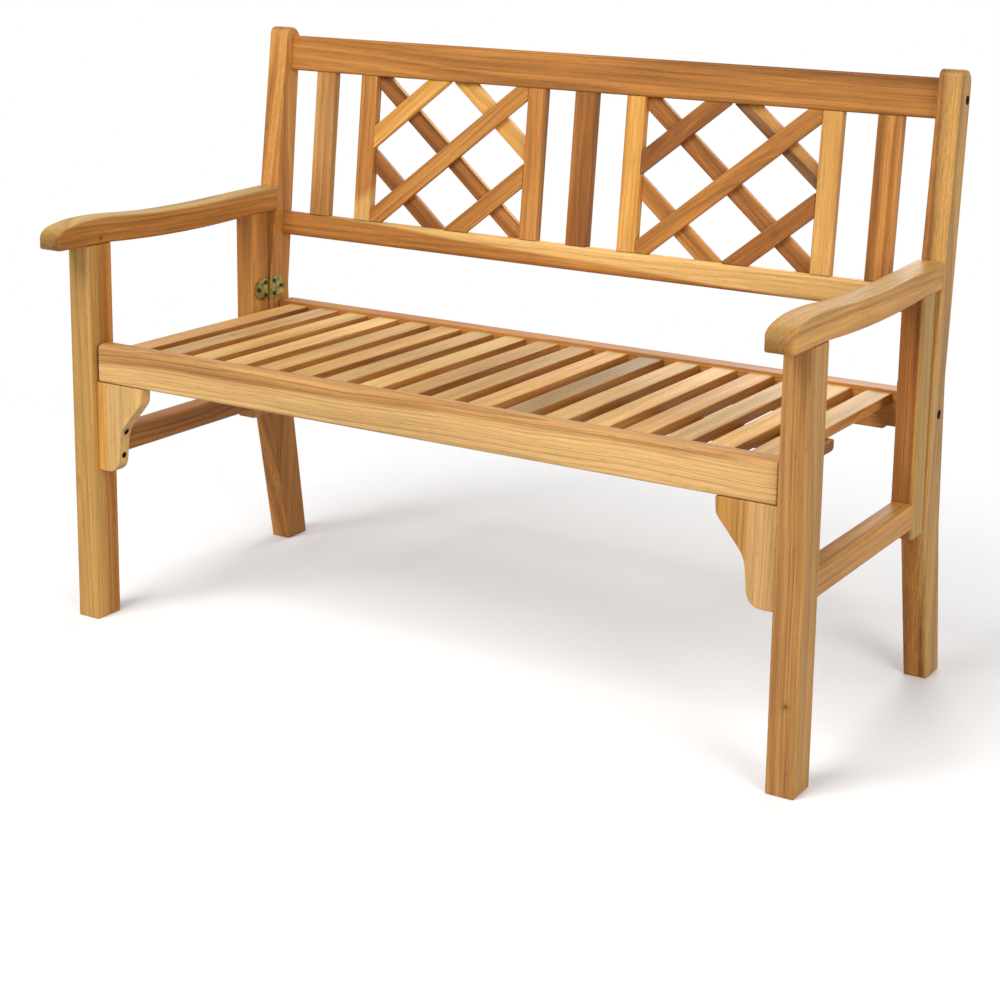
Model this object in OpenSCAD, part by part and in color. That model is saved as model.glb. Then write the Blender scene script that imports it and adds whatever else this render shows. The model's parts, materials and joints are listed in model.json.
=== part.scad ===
// Folding garden bench in oiled hardwood.
// The seat tips up about two pins in the rear legs, and each arm frame is hinged to its rear leg.
// Left and right are as seen from the front, +X to the right, +Y to the back, +Z up.
// The origin is on the ground at the middle of the bench's outline.
// Heights are from the ground, and depths are from the front face of the front legs.

/* [Overall] */
// Width over the outer faces of the legs
bench_w = 1210; // [1000:5:1400]
// Height of the rear legs
bench_h = 886; // [840:1:940]

/* [Front legs] */
// Width of a front leg and of the armrest on it
front_leg_w = 40; // [36:1:48]
// Depth of a front leg
front_leg_d = 50; // [44:1:60]

/* [Armrests] */
// Height of the armrest's flat underside
arm_z = 584; // [560:1:620]
// Thickness of the armrest at its front crown
arm_t = 39; // [32:1:46]
// How much thinner the armrest is behind its crown
arm_dip = 6.5; // [0:0.5:8]
// How far the armrest's underside sags between the front leg and the post
arm_sag = 5.5; // [1:0.5:8]
// Reach of the nose in front of the front leg
arm_nose = 61; // [50:1:75]
// Radius of the nose's upper curve
nose_r = 26; // [16:1:28]
// Radius of the nose's lower edge
nose_edge_r = 7; // [2:1:8]
// Radius of the nose's two corners seen from above
nose_corner_r = 8; // [4:1:16]
// Gap between the armrest's rear end and the rear leg
arm_gap = 3; // [1:0.5:6]

/* [Rear legs] */
// Width of a rear leg
rear_leg_w = 36; // [32:1:44]
// Depth from the front legs' front face to a rear leg's upright front face
rear_leg_y = 430; // [400:1:470]
// How far the foot is set behind the upright part
foot_rake = 44; // [20:1:60]
// Depth of the foot on the ground
foot_d = 50; // [40:1:60]
// Height of the knee, where the foot starts to rake
knee_z = 232; // [200:1:245]
// Depth of the leg at the knee
knee_d = 60; // [54:1:70]
// Height of the waist, where the back starts to lean, above the seat
waist_up = 18; // [8:1:30]
// Depth of the leg at the waist
waist_d = 50; // [46:1:56]
// Lean of the leg's front face above the waist, in degrees
leg_lean = 6.9; // [5.5:0.1:8]
// Depth of the leg at its top
leg_top_d = 36; // [36:1:42]
// Radius of the leg's front top corner
top_front_r = 11; // [4:1:14]
// Radius of the leg's rear top corner
top_rear_r = 20; // [8:1:22]

/* [Rear posts and stretchers] */
// Width of a rear post
post_w = 34; // [28:1:38]
// Depth of a rear post
post_d = 41; // [38:1:50]
// Gap between a post and the rear leg that it is hinged to
post_gap = 5; // [4.8:0.1:6]
// Height of a post's lower end
post_z = 236; // [200:1:245]
// Height of a stretcher's underside
stretcher_z = 250; // [247:1:262]
// Height of a stretcher's section
stretcher_h = 38; // [30:1:46]
// Width of a stretcher
stretcher_w = 34; // [26:1:34]

/* [Back panel] */
// Height of the lower back rail's front edge
back_z = 541; // [500:1:570]
// How far the back panel is set behind the front face of the rear legs
panel_inset = 22; // [18:0.5:24]
// Lean of the back panel, in degrees
back_lean = 5.7; // [5:0.1:6.2]
// Thickness of the back rails
back_rail_t = 20; // [16:1:20]
// Height of the lower back rail
lower_rail_h = 39; // [30:1:50]
// Height of the top rail
top_rail_h = 57.5; // [40:0.5:70]
// How far the top rail stays below the rear legs' tops
top_drop = 13; // [8:1:20]
// Thickness of the back slats
back_slat_t = 16; // [12:1:16]
// Width of the middle slat and the two end slats
plain_slat_w = 38; // [30:1:46]
// Width of the four slats that frame the lattices
frame_slat_w = 32; // [26:1:40]
// Gap between neighbouring back slats
back_gap = 53; // [40:1:60]
// Width of a lattice strip
lattice_w = 28.5; // [20:0.5:34]

/* [Seat] */
// Height of the front rail's top
seat_h = 434; // [420:1:450]
// Depth of the front rail
front_rail_d = 28; // [24:1:34]
// Depth of the rear rail
rear_rail_d = 30; // [26:1:34]
// Height of both seat rails
seat_rail_h = 58; // [52:1:64]
// How far the front rail is set behind the legs' front faces
rail_inset = 10; // [4:1:14]
// How far the rear rail is set behind the rear legs' front faces
rear_rail_inset = 16; // [12:1:18]
// How much lower the rear rail lies than the front rail
rear_rail_drop = 3; // [0:1:6]
// Gap between the front rail and a front leg
front_rail_gap = 4; // [2:0.5:8]
// Gap between the rear rail and a rear leg
rear_rail_gap = 6; // [4:0.5:8]
// Height of the notch under each end of the rear rail
notch_h = 5; // [2:1:8]
// Length of the notch under each end of the rear rail
notch_w = 35; // [20:1:50]
// Radius of the seat rails' long edges
rail_edge_r = 5; // [2:0.5:7]
// Number of seat slats
seat_slats = 18; // [12:1:18]
// Width of a seat slat
seat_slat_w = 38; // [30:1:42]
// Thickness of a seat slat
seat_slat_t = 15; // [12:1:18]
// How far the slats' tops lie below the front rail's top
slat_drop = 7; // [3:1:10]
// Margin between the last slat and the front rail's end
slat_margin = 22; // [14:1:40]
// Depth from the front rail to the middle rail
mid_rail_back = 145; // [100:1:200]
// Depth of the middle rail
mid_rail_d = 38; // [30:1:50]
// Thickness of the middle rail
mid_rail_t = 20; // [14:1:24]
// How far the middle rail runs past the last slat
mid_rail_over = 8; // [0:1:12]

/* [Corner brackets] */
// Thickness of a bracket
bracket_t = 21; // [18:1:24]
// Reach of a bracket under the front rail
bracket_reach = 89; // [80:1:100]
// Height of a bracket
bracket_h = 138; // [130:1:150]
// Width of a bracket's lower end
bracket_foot = 40; // [38:1:46]
// Gap between a bracket's top and the front rail that rests there
rest_gap = 0.3; // [0.1:0.1:1]

/* [Hinges] */
// Height of a hinge
hinge_h = 36; // [30:2:36]
// Reach of a hinge leaf from the pin
leaf_w = 39; // [38:0.5:42]
// Thickness of a hinge leaf
leaf_t = 2; // [1.5:0.1:2.2]
// Radius of a hinge's knuckles
knuckle_r = 3.2; // [2.8:0.1:3.3]
// Radius of a hinge's pin
hinge_pin_r = 1.5; // [1.2:0.1:1.8]
// Height of the upper hinges' middle above the seat's pivot pins
upper_hinge_up = 52; // [48:1:76]
// Height of the lower hinges' middle
lower_hinge_z = 279; // [258:1:320]

/* [Pins and bolts] */
// Radius of the seat's pivot pins
pivot_r = 4; // [3:0.5:5]
// Radius of the bolts that hold the top rail
rail_bolt_r = 4; // [3:0.5:5]
// Radius of the bolt heads and of the pivot pins' heads
head_r = 6.8; // [6:0.1:8]
// Height of those heads
head_h = 4; // [3:0.5:6]
// Depth of the counterbores that hide those heads
counterbore = 8; // [6:0.5:12]
// How far pins and bolts reach into the rails
pin_reach = 34; // [26:1:45]
// Radius of the locating dowels
dowel_r = 4; // [3:0.5:5]
// How far a dowel stands above its bracket
dowel_up = 6; // [4:0.5:8]
// Distance from a front leg to its dowel
dowel_in = 39; // [37:1:44]

/* [Barrel bolts] */
// Distance from a front leg to the barrel bolt's rod
lock_in = 20; // [18:0.5:22]
// Length of the barrel bolt's plate
lock_h = 50; // [46:1:56]
// Width of the barrel bolt's plate
lock_w = 20; // [19:0.5:22]
// Radius of the sliding rod
rod_r = 3; // [2.5:0.1:3.2]
// How far the rod reaches above the front rail's underside
rod_up = 13; // [11:0.5:14]
// Height of the keep on the front rail
keep_h = 12; // [8:0.5:16]
// Free space between the rod and the keep
keep_gap = 1; // [0.8:0.1:1.4]

/* [Hidden] */
$fn = 48;
arc_steps = 8;
big = 4000;
full_turn = 360;
half_w = bench_w / 2;
leg_in = half_w - front_leg_w;
rear_in = half_w - rear_leg_w;
foot_back = rear_leg_y + foot_rake + foot_d;
waist_z = seat_h + waist_up;
front_y = (arm_nose - foot_back) / 2;
post_y = rear_leg_y - post_gap - post_d;

// Armrest: radii of its crown and of the hollow behind it
crown_front_r = 3.2 * arm_nose;
crown_r = 12 * front_leg_d;
dip_front_r = 24 * front_leg_d;
dip_rear_r = 6 * rear_leg_y;

// Armrest: the nose's upper corner, whose radii both fit its height, and the sag's arc, just short of its chord
nose_h = arm_t * 0.72;
nose_turn = 90 - atan2(arm_t - nose_h, arm_nose * 0.8);
nose_lower_r = min(nose_edge_r, nose_h / 3);
nose_upper_r = min(nose_r, (nose_h - nose_lower_r - 0.2) / tan(nose_turn / 2));
sag_chord = post_y - front_leg_d;
sag_r = 0.95 * (sag_chord * sag_chord / 4 + arm_sag * arm_sag) / (2 * arm_sag);

// Running and screw clearances, on the radius
run_fit = 0.08;
screw_fit = 0.2;

// Back panel, in its own leaning frame: the lower rail's front edge is the origin
panel_y = leg_front(back_z) + panel_inset;
panel_h = (bench_h - top_drop - back_z) / cos(back_lean);
slat_z = lower_rail_h;
slat_h = panel_h - lower_rail_h - top_rail_h;
slat_inset = (back_rail_t - back_slat_t) / 2;
lattice_t = back_slat_t / 2;
inner_slat_x = plain_slat_w / 2 + back_gap + frame_slat_w / 2;
end_slat_x = rear_in - back_gap - plain_slat_w / 2;
outer_slat_x = end_slat_x - (plain_slat_w + frame_slat_w) / 2 - back_gap;
opening_w = outer_slat_x - inner_slat_x - frame_slat_w;
opening_x = (inner_slat_x + outer_slat_x) / 2;
back_slat_x = [-end_slat_x, -outer_slat_x, -inner_slat_x, 0, inner_slat_x, outer_slat_x, end_slat_x];
back_slat_w = [plain_slat_w, frame_slat_w, frame_slat_w, plain_slat_w,
    frame_slat_w, frame_slat_w, plain_slat_w];

// Seat
rail_z = seat_h - seat_rail_h;
rail_back = rail_inset + front_rail_d;
rear_rail_y = rear_leg_y + rear_rail_inset;
rear_rail_z = rail_z - rear_rail_drop;
front_rail_half = leg_in - front_rail_gap;
rear_rail_half = rear_in - rear_rail_gap;
slat_half = front_rail_half - slat_margin;
slat_pitch = (2 * slat_half - seat_slat_w) / (seat_slats - 1);
seat_slat_z = seat_h - slat_drop - seat_slat_t;
mid_rail_y = rail_back + mid_rail_back;
mid_rail_z = seat_slat_z - mid_rail_t;
pivot_y = rear_rail_y + rear_rail_d / 2;
pivot_z = rear_rail_z + seat_rail_h / 2;

// Brackets, dowels and barrel bolts
bracket_top = rail_z - rest_gap;
bracket_back = rail_inset + bracket_t;
bracket_mid = rail_inset + bracket_t / 2;
bracket_screw_z = [bracket_top - bracket_h * 0.53, bracket_top - bracket_h * 0.8];
bracket_screw_head_r = 4.5;
bracket_screw_r = 2.3;
bracket_screw_seat = 16;
bracket_screw_reach = 22;
dowel_gap = 0.8;
dowel_deep = 15;
lock_x = leg_in - lock_in;
lock_z = bracket_top - 4 - lock_h;
lock_plate_t = 1.5;
guide_h = 10;
guide_margin = 4;
guide_r = rod_r + 2;
rod_y = rail_back + keep_gap + rod_r;
rod_tail = 3;
knob_r = 2.5;
knob_out = 12;
keep_z = rail_z + 1.5;
keep_r = rod_r + keep_gap;
keep_wall = 1.5;
keep_half = keep_r + keep_wall + 7;
small_screw_r = 1.3;
small_head_r = 2.1;
small_head_h = 1;
small_screw_l = 12;

// Hinges
hinge_y = rear_leg_y - post_gap / 2;
hinge_x = rear_in - 2.5;
hinge_zs = [pivot_z + upper_hinge_up, lower_hinge_z];
knuckles = 5;
knuckle_gap = 0.2;
leaf_start = knuckle_r + 0.3;
hinge_screw_r = 2;
hinge_head_r = 3.6;
hinge_head_h = 1.2;
hinge_screw_l = 16;
hinge_screws_yz = [[11, hinge_h * 0.3], [11, -hinge_h * 0.3], [leaf_w - 10, 0]];

// Screws up through the middle rail into the slats
slat_screw_r = 2;
slat_head_r = 4;
slat_head_h = 2.5;
slat_screw_sink = 3.5;
slat_screw_bite = 9;

// Colours of the boards, the hinges and the steel
honey = "#D9A866";
amber = "#C98F50";
tan_wood = "#B98A5E";
umber = "#A2683A";
straw = "#DDB980";
zinc = "#A9A070";
steel = "#9A9A9A";
black = "#1C1B1A";
board_tones = [honey, amber, tan_wood, straw, umber];

BACK_SLATS = [for (i = [1:len(back_slat_x)]) str("back_slat_", i)];
SEAT_SLATS = [for (i = [1:seat_slats]) str("seat_slat_", i)];

// Depth of a rear leg's front face at a height above the waist
function leg_front(z) = rear_leg_y + (z - waist_z) * tan(leg_lean);

// A vector's direction, as a vector of length 1
function unit(v) = v / norm(v);

// The points of an arc of radius r that rounds the corner p between a and b
function corner(a, p, b, r) = r == 0 ? [p] :
    let (
        u = unit(a - p),
        v = unit(b - p),
        half = acos(u * v) / 2,
        c = p + unit(u + v) * r / sin(half),
        s = p + u * r / tan(half) - c,
        e = p + v * r / tan(half) - c,
        start = atan2(s.y, s.x),
        turn = (atan2(e.y, e.x) - start + full_turn * 1.5) % full_turn - full_turn / 2
    )
    [for (i = [0:arc_steps]) c + r * [cos(start + turn * i / arc_steps), sin(start + turn * i / arc_steps)]];

// An outline with each corner rounded by its own radius; each entry is [x, y, radius]
function rounded(points) =
    let (n = len(points), flat = [for (p = points) [p.x, p.y]])
    [for (i = [0:n - 1]) each corner(flat[(i + n - 1) % n], flat[i], flat[(i + 1) % n], points[i].z)];

// Moves a piece from depths at the front legs' faces to the bench's own origin
module from_front() {
    translate([0, front_y, 0])
        children();
}

// Draws a piece of the right side on the right, s = 1, or on the left, s = -1
module on_side(s) {
    mirror([s < 0 ? 1 : 0, 0, 0])
        children();
}

// Draws pieces on both sides
module both_sides() {
    on_side(1) children();
    on_side(-1) children();
}

// Places a piece in the back panel's leaning frame
module on_panel() {
    translate([0, panel_y, back_z])
        rotate([-back_lean, 0, 0])
            children();
}

// A side profile in depth and height, given its width along X from x0 to x1
module side_board(x0, x1) {
    translate([x0, 0, 0])
        rotate([90, 0, 90])
            linear_extrude(x1 - x0)
                children();
}

// A rectangle from [0, 0] to [w, h] with round corners
module round_rect(w, h, r) {
    translate([r, 0])
        square([w - 2 * r, h]);
    translate([0, r])
        square([w, h - 2 * r]);
    for (x = [r, w - r])
        for (y = [r, h - r])
            translate([x, y])
                circle(r = r);
}

// A round bar of radius r along +X, from x0 to x1
module bar_x(x0, x1, r) {
    translate([x0, 0, 0])
        rotate([0, 90, 0])
            cylinder(h = x1 - x0, r = r);
}

// A rear leg of the right side: raked foot, upright middle, leaning back, round top
module rear_leg() {
    top_y = leg_front(bench_h);
    color(amber)
        difference() {
            side_board(rear_in, half_w)
                polygon(rounded([
                    [rear_leg_y + foot_rake, 0, 0],
                    [foot_back, 0, 0],
                    [rear_leg_y + knee_d, knee_z, 60],
                    [rear_leg_y + waist_d, waist_z, 0],
                    [top_y + leg_top_d, bench_h, top_rear_r],
                    [top_y, bench_h, top_front_r],
                    [rear_leg_y, waist_z, 0],
                    [rear_leg_y, knee_z, 0]]));
            translate([0, pivot_y, pivot_z])
                headed_hole(pivot_r);
            at_rail_bolt()
                headed_hole(rail_bolt_r);
            hinge_pilots(1);
        }
}

// The hole for a pin or bolt through a rear leg, with its counterbore at the outer face
module headed_hole(r) {
    bar_x(rear_in - 1, half_w + 1, r + screw_fit);
    bar_x(half_w - counterbore, half_w + 1, head_r + screw_fit);
}

// A pin or bolt with its head in the counterbore
module headed_pin(r) {
    bar_x(half_w - counterbore, half_w - counterbore + head_h, head_r);
    bar_x(rear_in - pin_reach, half_w - counterbore, r);
}

// Places a bolt at the middle of the top rail's end
module at_rail_bolt() {
    on_panel()
        translate([0, back_rail_t / 2, panel_h - top_rail_h / 2])
            children();
}

// One board of the back panel, w wide and h high at [x, z], sunk back by inset
module panel_board(x, z, w, h, t, inset) {
    on_panel()
        translate([x - w / 2, inset, z])
            cube([w, t, h]);
}

module top_rail() {
    color(umber)
        from_front()
            difference() {
                panel_board(0, panel_h - top_rail_h, 2 * rear_in, top_rail_h, back_rail_t, 0);
                both_sides()
                    at_rail_bolt()
                        bar_x(rear_in - pin_reach - 2, rear_in + 1, rail_bolt_r + screw_fit);
            }
}

module lower_back_rail() {
    color(honey)
        from_front()
            panel_board(0, 0, 2 * rear_in, lower_rail_h, back_rail_t, 0);
}

module back_slat(i) {
    color(board_tones[i % len(board_tones)])
        from_front()
            panel_board(back_slat_x[i - 1], slat_z, back_slat_w[i - 1], slat_h, back_slat_t, slat_inset);
}

// Three parallel strips that rise to the right, or fall: one on the diagonal, two across the corners
module lattice(side, rising) {
    angle = atan2(slat_h, opening_w) * (rising ? 1 : -1);
    half_way = opening_w * slat_h / norm([opening_w, slat_h]) / 2;
    color(rising ? honey : umber)
        from_front()
            on_panel()
                translate([side * opening_x, slat_inset + lattice_t * (rising ? 1 : 2), slat_z + slat_h / 2])
                    rotate([90, 0, 0])
                        linear_extrude(lattice_t)
                            for (at = [-1, 0, 1])
                                intersection() {
                                    square([opening_w, slat_h], center = true);
                                    rotate(angle)
                                        translate([0, at * (half_way + lattice_w / 2)])
                                            square([big, lattice_w], center = true);
                                }
}

module front_leg() {
    color(tan_wood)
        difference() {
            translate([leg_in, 0, 0])
                cube([front_leg_w, front_leg_d, arm_z]);
            at_bracket_screws()
                bar_x(leg_in - 1, leg_in + bracket_screw_reach + 1, bracket_screw_r + screw_fit);
        }
}

module rear_post() {
    color(amber)
        difference() {
            translate([rear_in, post_y, post_z])
                cube([post_w, post_d, arm_z - post_z]);
            hinge_pilots(-1);
        }
}

// The armrest: a sawn side profile with a round nose, whose corners are round from above too
module armrest() {
    rear_low = leg_front(arm_z) - arm_gap;
    rear_high = leg_front(arm_z + arm_t) - arm_gap;
    top = arm_z + arm_t;
    color(straw)
        intersection() {
            side_board(leg_in, half_w)
                polygon(rounded([
                    [-arm_nose, arm_z, nose_lower_r],
                    [front_leg_d, arm_z, 0],
                    [(front_leg_d + post_y) / 2, arm_z - 2 * arm_sag, sag_r],
                    [post_y, arm_z, 0],
                    [rear_low, arm_z, 0],
                    [rear_high, top, 0],
                    [(3 * front_leg_d + post_y) / 2, top - arm_dip, dip_rear_r],
                    [3 * front_leg_d, top - arm_dip, dip_front_r],
                    [front_leg_d - 5, top + 1.5, crown_r],
                    [-arm_nose / 5, top, crown_front_r],
                    [-arm_nose, arm_z + nose_h, nose_upper_r]]));
            translate([leg_in, -arm_nose, arm_z - 2 * arm_sag])
                linear_extrude(arm_t + 2 * arm_sag + 10) {
                    round_rect(front_leg_w, 4 * nose_corner_r, nose_corner_r);
                    translate([0, 2 * nose_corner_r])
                        square([front_leg_w, rear_high + arm_nose]);
                }
        }
}

module stretcher() {
    middle = rear_in + post_w / 2;
    color(amber)
        translate([middle - stretcher_w / 2, post_y, stretcher_z])
            rotate([90, 0, 0])
                linear_extrude(post_y - front_leg_d)
                    round_rect(stretcher_w, stretcher_h, rail_edge_r);
}

// The bracket under the front rail's end, an ogee from its tip down to its foot on the leg
module corner_bracket() {
    low = bracket_top - bracket_h;
    color(straw)
        difference() {
            translate([leg_in, bracket_back, bracket_top])
                rotate([90, 0, 0])
                    linear_extrude(bracket_t)
                        polygon(rounded([
                            [0, 0, 0],
                            [-bracket_reach, 0, 2],
                            [-bracket_reach + 1, -bracket_h * 0.17, 20],
                            [-bracket_foot - 6, -bracket_h * 0.53, 45],
                            [-bracket_foot, -bracket_h, 22],
                            [0, -bracket_h, 0]]));
            at_bracket_screws() {
                bar_x(leg_in - bracket_reach, leg_in - bracket_screw_seat, bracket_screw_head_r + screw_fit);
                bar_x(leg_in - bracket_reach, leg_in + 1, bracket_screw_r + screw_fit);
            }
            translate([leg_in - dowel_in, bracket_mid, bracket_top - dowel_deep])
                cylinder(h = dowel_deep + 1, r = dowel_r + run_fit);
            at_lock_screws()
                screw_hole(small_screw_r, small_screw_l);
        }
}

// Places the two screws of a bracket
module at_bracket_screws() {
    for (z = bracket_screw_z)
        translate([0, bracket_mid, z])
            children();
}

module bracket_screws() {
    color(black)
        from_front()
            both_sides()
                at_bracket_screws() {
                    bar_x(leg_in - bracket_screw_seat - 3, leg_in - bracket_screw_seat, bracket_screw_head_r);
                    bar_x(leg_in - bracket_screw_seat, leg_in + bracket_screw_reach, bracket_screw_r);
                }
}

module locating_dowels() {
    color(black)
        from_front()
            both_sides()
                translate([leg_in - dowel_in, bracket_mid, bracket_top - dowel_deep])
                    cylinder(h = dowel_deep + dowel_up, r = dowel_r);
}

// A small screw pointing forwards from a rear face, head outside
module small_screw(plate) {
    rotate([90, 0, 0]) {
        translate([0, 0, -plate - small_head_h])
            cylinder(h = small_head_h, r = small_head_r);
        translate([0, 0, -plate])
            cylinder(h = small_screw_l, r = small_screw_r);
    }
}

// The hole of a screw pointing forwards, from behind the face to its depth
module screw_hole(r, l) {
    rotate([90, 0, 0])
        translate([0, 0, -10])
            cylinder(h = l + 10.5, r = r + screw_fit);
}

// Places the four screws of a barrel bolt's plate
module at_lock_screws() {
    for (x = [-1, 1])
        for (z = [lock_z + guide_margin + guide_h / 2, lock_z + lock_h - guide_margin - guide_h / 2])
            translate([lock_x + x * (guide_r + lock_w / 2) / 2, bracket_back, z])
                children();
}

// A barrel bolt's plate with its two guides for the rod
module bolt_housing() {
    difference() {
        union() {
            translate([lock_x - lock_w / 2, bracket_back, lock_z])
                cube([lock_w, lock_plate_t, lock_h]);
            for (z = [lock_z + guide_margin, lock_z + lock_h - guide_margin - guide_h])
                translate([lock_x, 0, z]) {
                    translate([-guide_r, bracket_back, 0])
                        cube([2 * guide_r, rod_y - bracket_back, guide_h]);
                    translate([0, rod_y, 0])
                        cylinder(h = guide_h, r = guide_r);
                }
        }
        translate([lock_x, rod_y, lock_z - 1])
            cylinder(h = lock_h + 2, r = rod_r + run_fit);
        at_lock_screws()
            screw_hole(small_screw_r, 1);
    }
}

module bolt_housings() {
    color(steel)
        from_front()
            both_sides()
                bolt_housing();
}

module bolt_screws() {
    color(black)
        from_front()
            both_sides()
                at_lock_screws()
                    small_screw(lock_plate_t);
}

// The sliding rod with the knob that moves it, drawn as it lies when shot
module bolt_rod() {
    knob_z = lock_z + lock_h - guide_margin - guide_h - knob_r - 1;
    color(steel) {
        translate([lock_x, rod_y, lock_z - rod_tail])
            cylinder(h = rail_z + rod_up - lock_z + rod_tail, r = rod_r);
        translate([lock_x, rod_y, knob_z])
            rotate([-90, 0, 0])
                cylinder(h = knob_out, r = knob_r);
    }
}

// Places the two screws of a keep
module at_keep_screws() {
    for (x = [-1, 1])
        translate([lock_x + x * (keep_half - 3.5), rail_back, keep_z + keep_h / 2])
            children();
}

// The keep on the front rail: a loop with two feet
module bolt_keep() {
    outer = keep_r + keep_wall;
    difference() {
        translate([lock_x, 0, keep_z]) {
            translate([-keep_half, rail_back, 0])
                cube([2 * keep_half, keep_wall, keep_h]);
            translate([-outer, rail_back, 0])
                cube([2 * outer, rod_y - rail_back, keep_h]);
            translate([0, rod_y, 0])
                cylinder(h = keep_h, r = outer);
        }
        translate([lock_x, rod_y, keep_z - 1])
            cylinder(h = keep_h + 2, r = keep_r);
        translate([lock_x - keep_r, rail_back - 1, keep_z - 1])
            cube([2 * keep_r, rod_y - rail_back + 1, keep_h + 2]);
        translate([lock_x - outer, rail_back - outer, keep_z - 1])
            cube([2 * outer, outer, keep_h + 2]);
        at_keep_screws()
            screw_hole(small_screw_r, 1);
    }
}

module bolt_keeps() {
    color(steel)
        from_front()
            both_sides()
                bolt_keep();
}

module seat_front_rail() {
    color(honey)
        from_front()
            difference() {
                side_board(-front_rail_half, front_rail_half)
                    translate([rail_inset, rail_z])
                        round_rect(front_rail_d, seat_rail_h, rail_edge_r);
                both_sides() {
                    translate([leg_in - dowel_in, bracket_mid, rail_z - 1])
                        cylinder(h = dowel_up + 3, r = dowel_r + dowel_gap);
                    at_keep_screws()
                        screw_hole(small_screw_r, small_screw_l);
                }
            }
}

module seat_rear_rail() {
    color(amber)
        from_front()
            difference() {
                side_board(-rear_rail_half, rear_rail_half)
                    translate([rear_rail_y, rear_rail_z])
                        round_rect(rear_rail_d, seat_rail_h, rail_edge_r);
                both_sides() {
                    translate([rear_rail_half - notch_w, rear_rail_y - 1, rear_rail_z - 1])
                        cube([notch_w + 1, rear_rail_d + 2, notch_h + 1]);
                    translate([0, pivot_y, pivot_z])
                        bar_x(rear_in - pin_reach - 1, rear_in + 1, pivot_r + run_fit);
                }
            }
}

// Places a screw under the middle of each seat slat
module at_slat_screws() {
    for (i = [1:seat_slats])
        translate([seat_slat_x(i), mid_rail_y + mid_rail_d / 2, mid_rail_z])
            children();
}

module seat_mid_rail() {
    half = slat_half + mid_rail_over;
    color(tan_wood)
        from_front()
            difference() {
                translate([0, mid_rail_y + mid_rail_d, 0])
                    rotate([90, 0, 0])
                        linear_extrude(mid_rail_d)
                            polygon(rounded([
                                [-half, mid_rail_z, 10],
                                [half, mid_rail_z, 10],
                                [half, mid_rail_z + mid_rail_t, 0],
                                [-half, mid_rail_z + mid_rail_t, 0]]));
                at_slat_screws() {
                    translate([0, 0, -1])
                        cylinder(h = slat_screw_sink + 1, r = slat_head_r + screw_fit);
                    cylinder(h = mid_rail_t + 1, r = slat_screw_r + screw_fit);
                }
            }
}

function seat_slat_x(i) = -slat_half + seat_slat_w / 2 + (i - 1) * slat_pitch;

module seat_slat(i) {
    color(board_tones[(i * 2) % len(board_tones)])
        from_front()
            difference() {
                translate([seat_slat_x(i) - seat_slat_w / 2, rail_back, seat_slat_z])
                    cube([seat_slat_w, rear_rail_y - rail_back, seat_slat_t]);
                translate([seat_slat_x(i), mid_rail_y + mid_rail_d / 2, seat_slat_z - 1])
                    cylinder(h = slat_screw_bite + 1.5, r = slat_screw_r + screw_fit);
            }
}

// The screws of the seat: one under each slat, and two in each keep
module seat_screws() {
    color(black)
        from_front() {
            at_slat_screws() {
                translate([0, 0, slat_screw_sink - slat_head_h])
                    cylinder(h = slat_head_h, r = slat_head_r);
                translate([0, 0, slat_screw_sink])
                    cylinder(h = mid_rail_t - slat_screw_sink + slat_screw_bite, r = slat_screw_r);
            }
            both_sides()
                at_keep_screws()
                    small_screw(keep_wall);
        }
}

// Places a hinge: the pin's middle is the origin, for each of the two hinges of the right side
module at_hinges() {
    for (z = hinge_zs)
        translate([hinge_x, hinge_y, z])
            children();
}

// Places the three screws of a leaf that points to the leg, dir = 1, or to the post, dir = -1
module at_leaf_screws(dir) {
    for (p = hinge_screws_yz)
        translate([rear_in - hinge_x, dir * p.x, p.y])
            children();
}

// The pilot holes of the hinge screws in a leg or post
module hinge_pilots(dir) {
    at_hinges()
        at_leaf_screws(dir)
            bar_x(-1, hinge_screw_l - leaf_t + 0.5, hinge_screw_r + screw_fit);
}

// One hinge leaf with every second knuckle, from knuckle number first on
module hinge_leaf(dir, first) {
    pitch = hinge_h / knuckles;
    face = rear_in - hinge_x;
    tip_r = hinge_h / 2;
    difference() {
        union() {
            translate([face - leaf_t, 0, 0])
                rotate([90, 0, 90])
                    linear_extrude(leaf_t)
                        mirror([dir < 0 ? 1 : 0, 0]) {
                            translate([leaf_start, -tip_r])
                                square([leaf_w - tip_r - leaf_start, hinge_h]);
                            intersection() {
                                translate([leaf_w - tip_r, 0])
                                    circle(r = tip_r);
                                translate([leaf_start, -tip_r])
                                    square([leaf_w, hinge_h]);
                            }
                            for (i = [first:2:knuckles - 1])
                                translate([0, i * pitch - tip_r + knuckle_gap / 2])
                                    square([leaf_start + 1, pitch - knuckle_gap]);
                        }
            for (i = [first:2:knuckles - 1])
                translate([0, 0, i * pitch - tip_r + knuckle_gap / 2])
                    cylinder(h = pitch - knuckle_gap, r = knuckle_r);
        }
        translate([0, 0, -hinge_h])
            cylinder(h = 2 * hinge_h, r = hinge_pin_r + run_fit);
        at_leaf_screws(dir)
            bar_x(-leaf_t - 1, 1, hinge_screw_r + screw_fit);
    }
}

module hinge_post_leaves() {
    color(zinc)
        from_front()
            both_sides()
                at_hinges()
                    hinge_leaf(-1, 0);
}

module hinge_leg_leaves() {
    color(zinc)
        from_front()
            both_sides()
                at_hinges()
                    hinge_leaf(1, 1);
}

module hinge_pins() {
    color(zinc)
        from_front()
            both_sides()
                at_hinges() {
                    translate([0, 0, -hinge_h / 2])
                        cylinder(h = hinge_h, r = hinge_pin_r);
                    for (z = [-hinge_h / 2 - 1, hinge_h / 2])
                        translate([0, 0, z])
                            cylinder(h = 1, r = hinge_pin_r + 1);
                }
}

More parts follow.
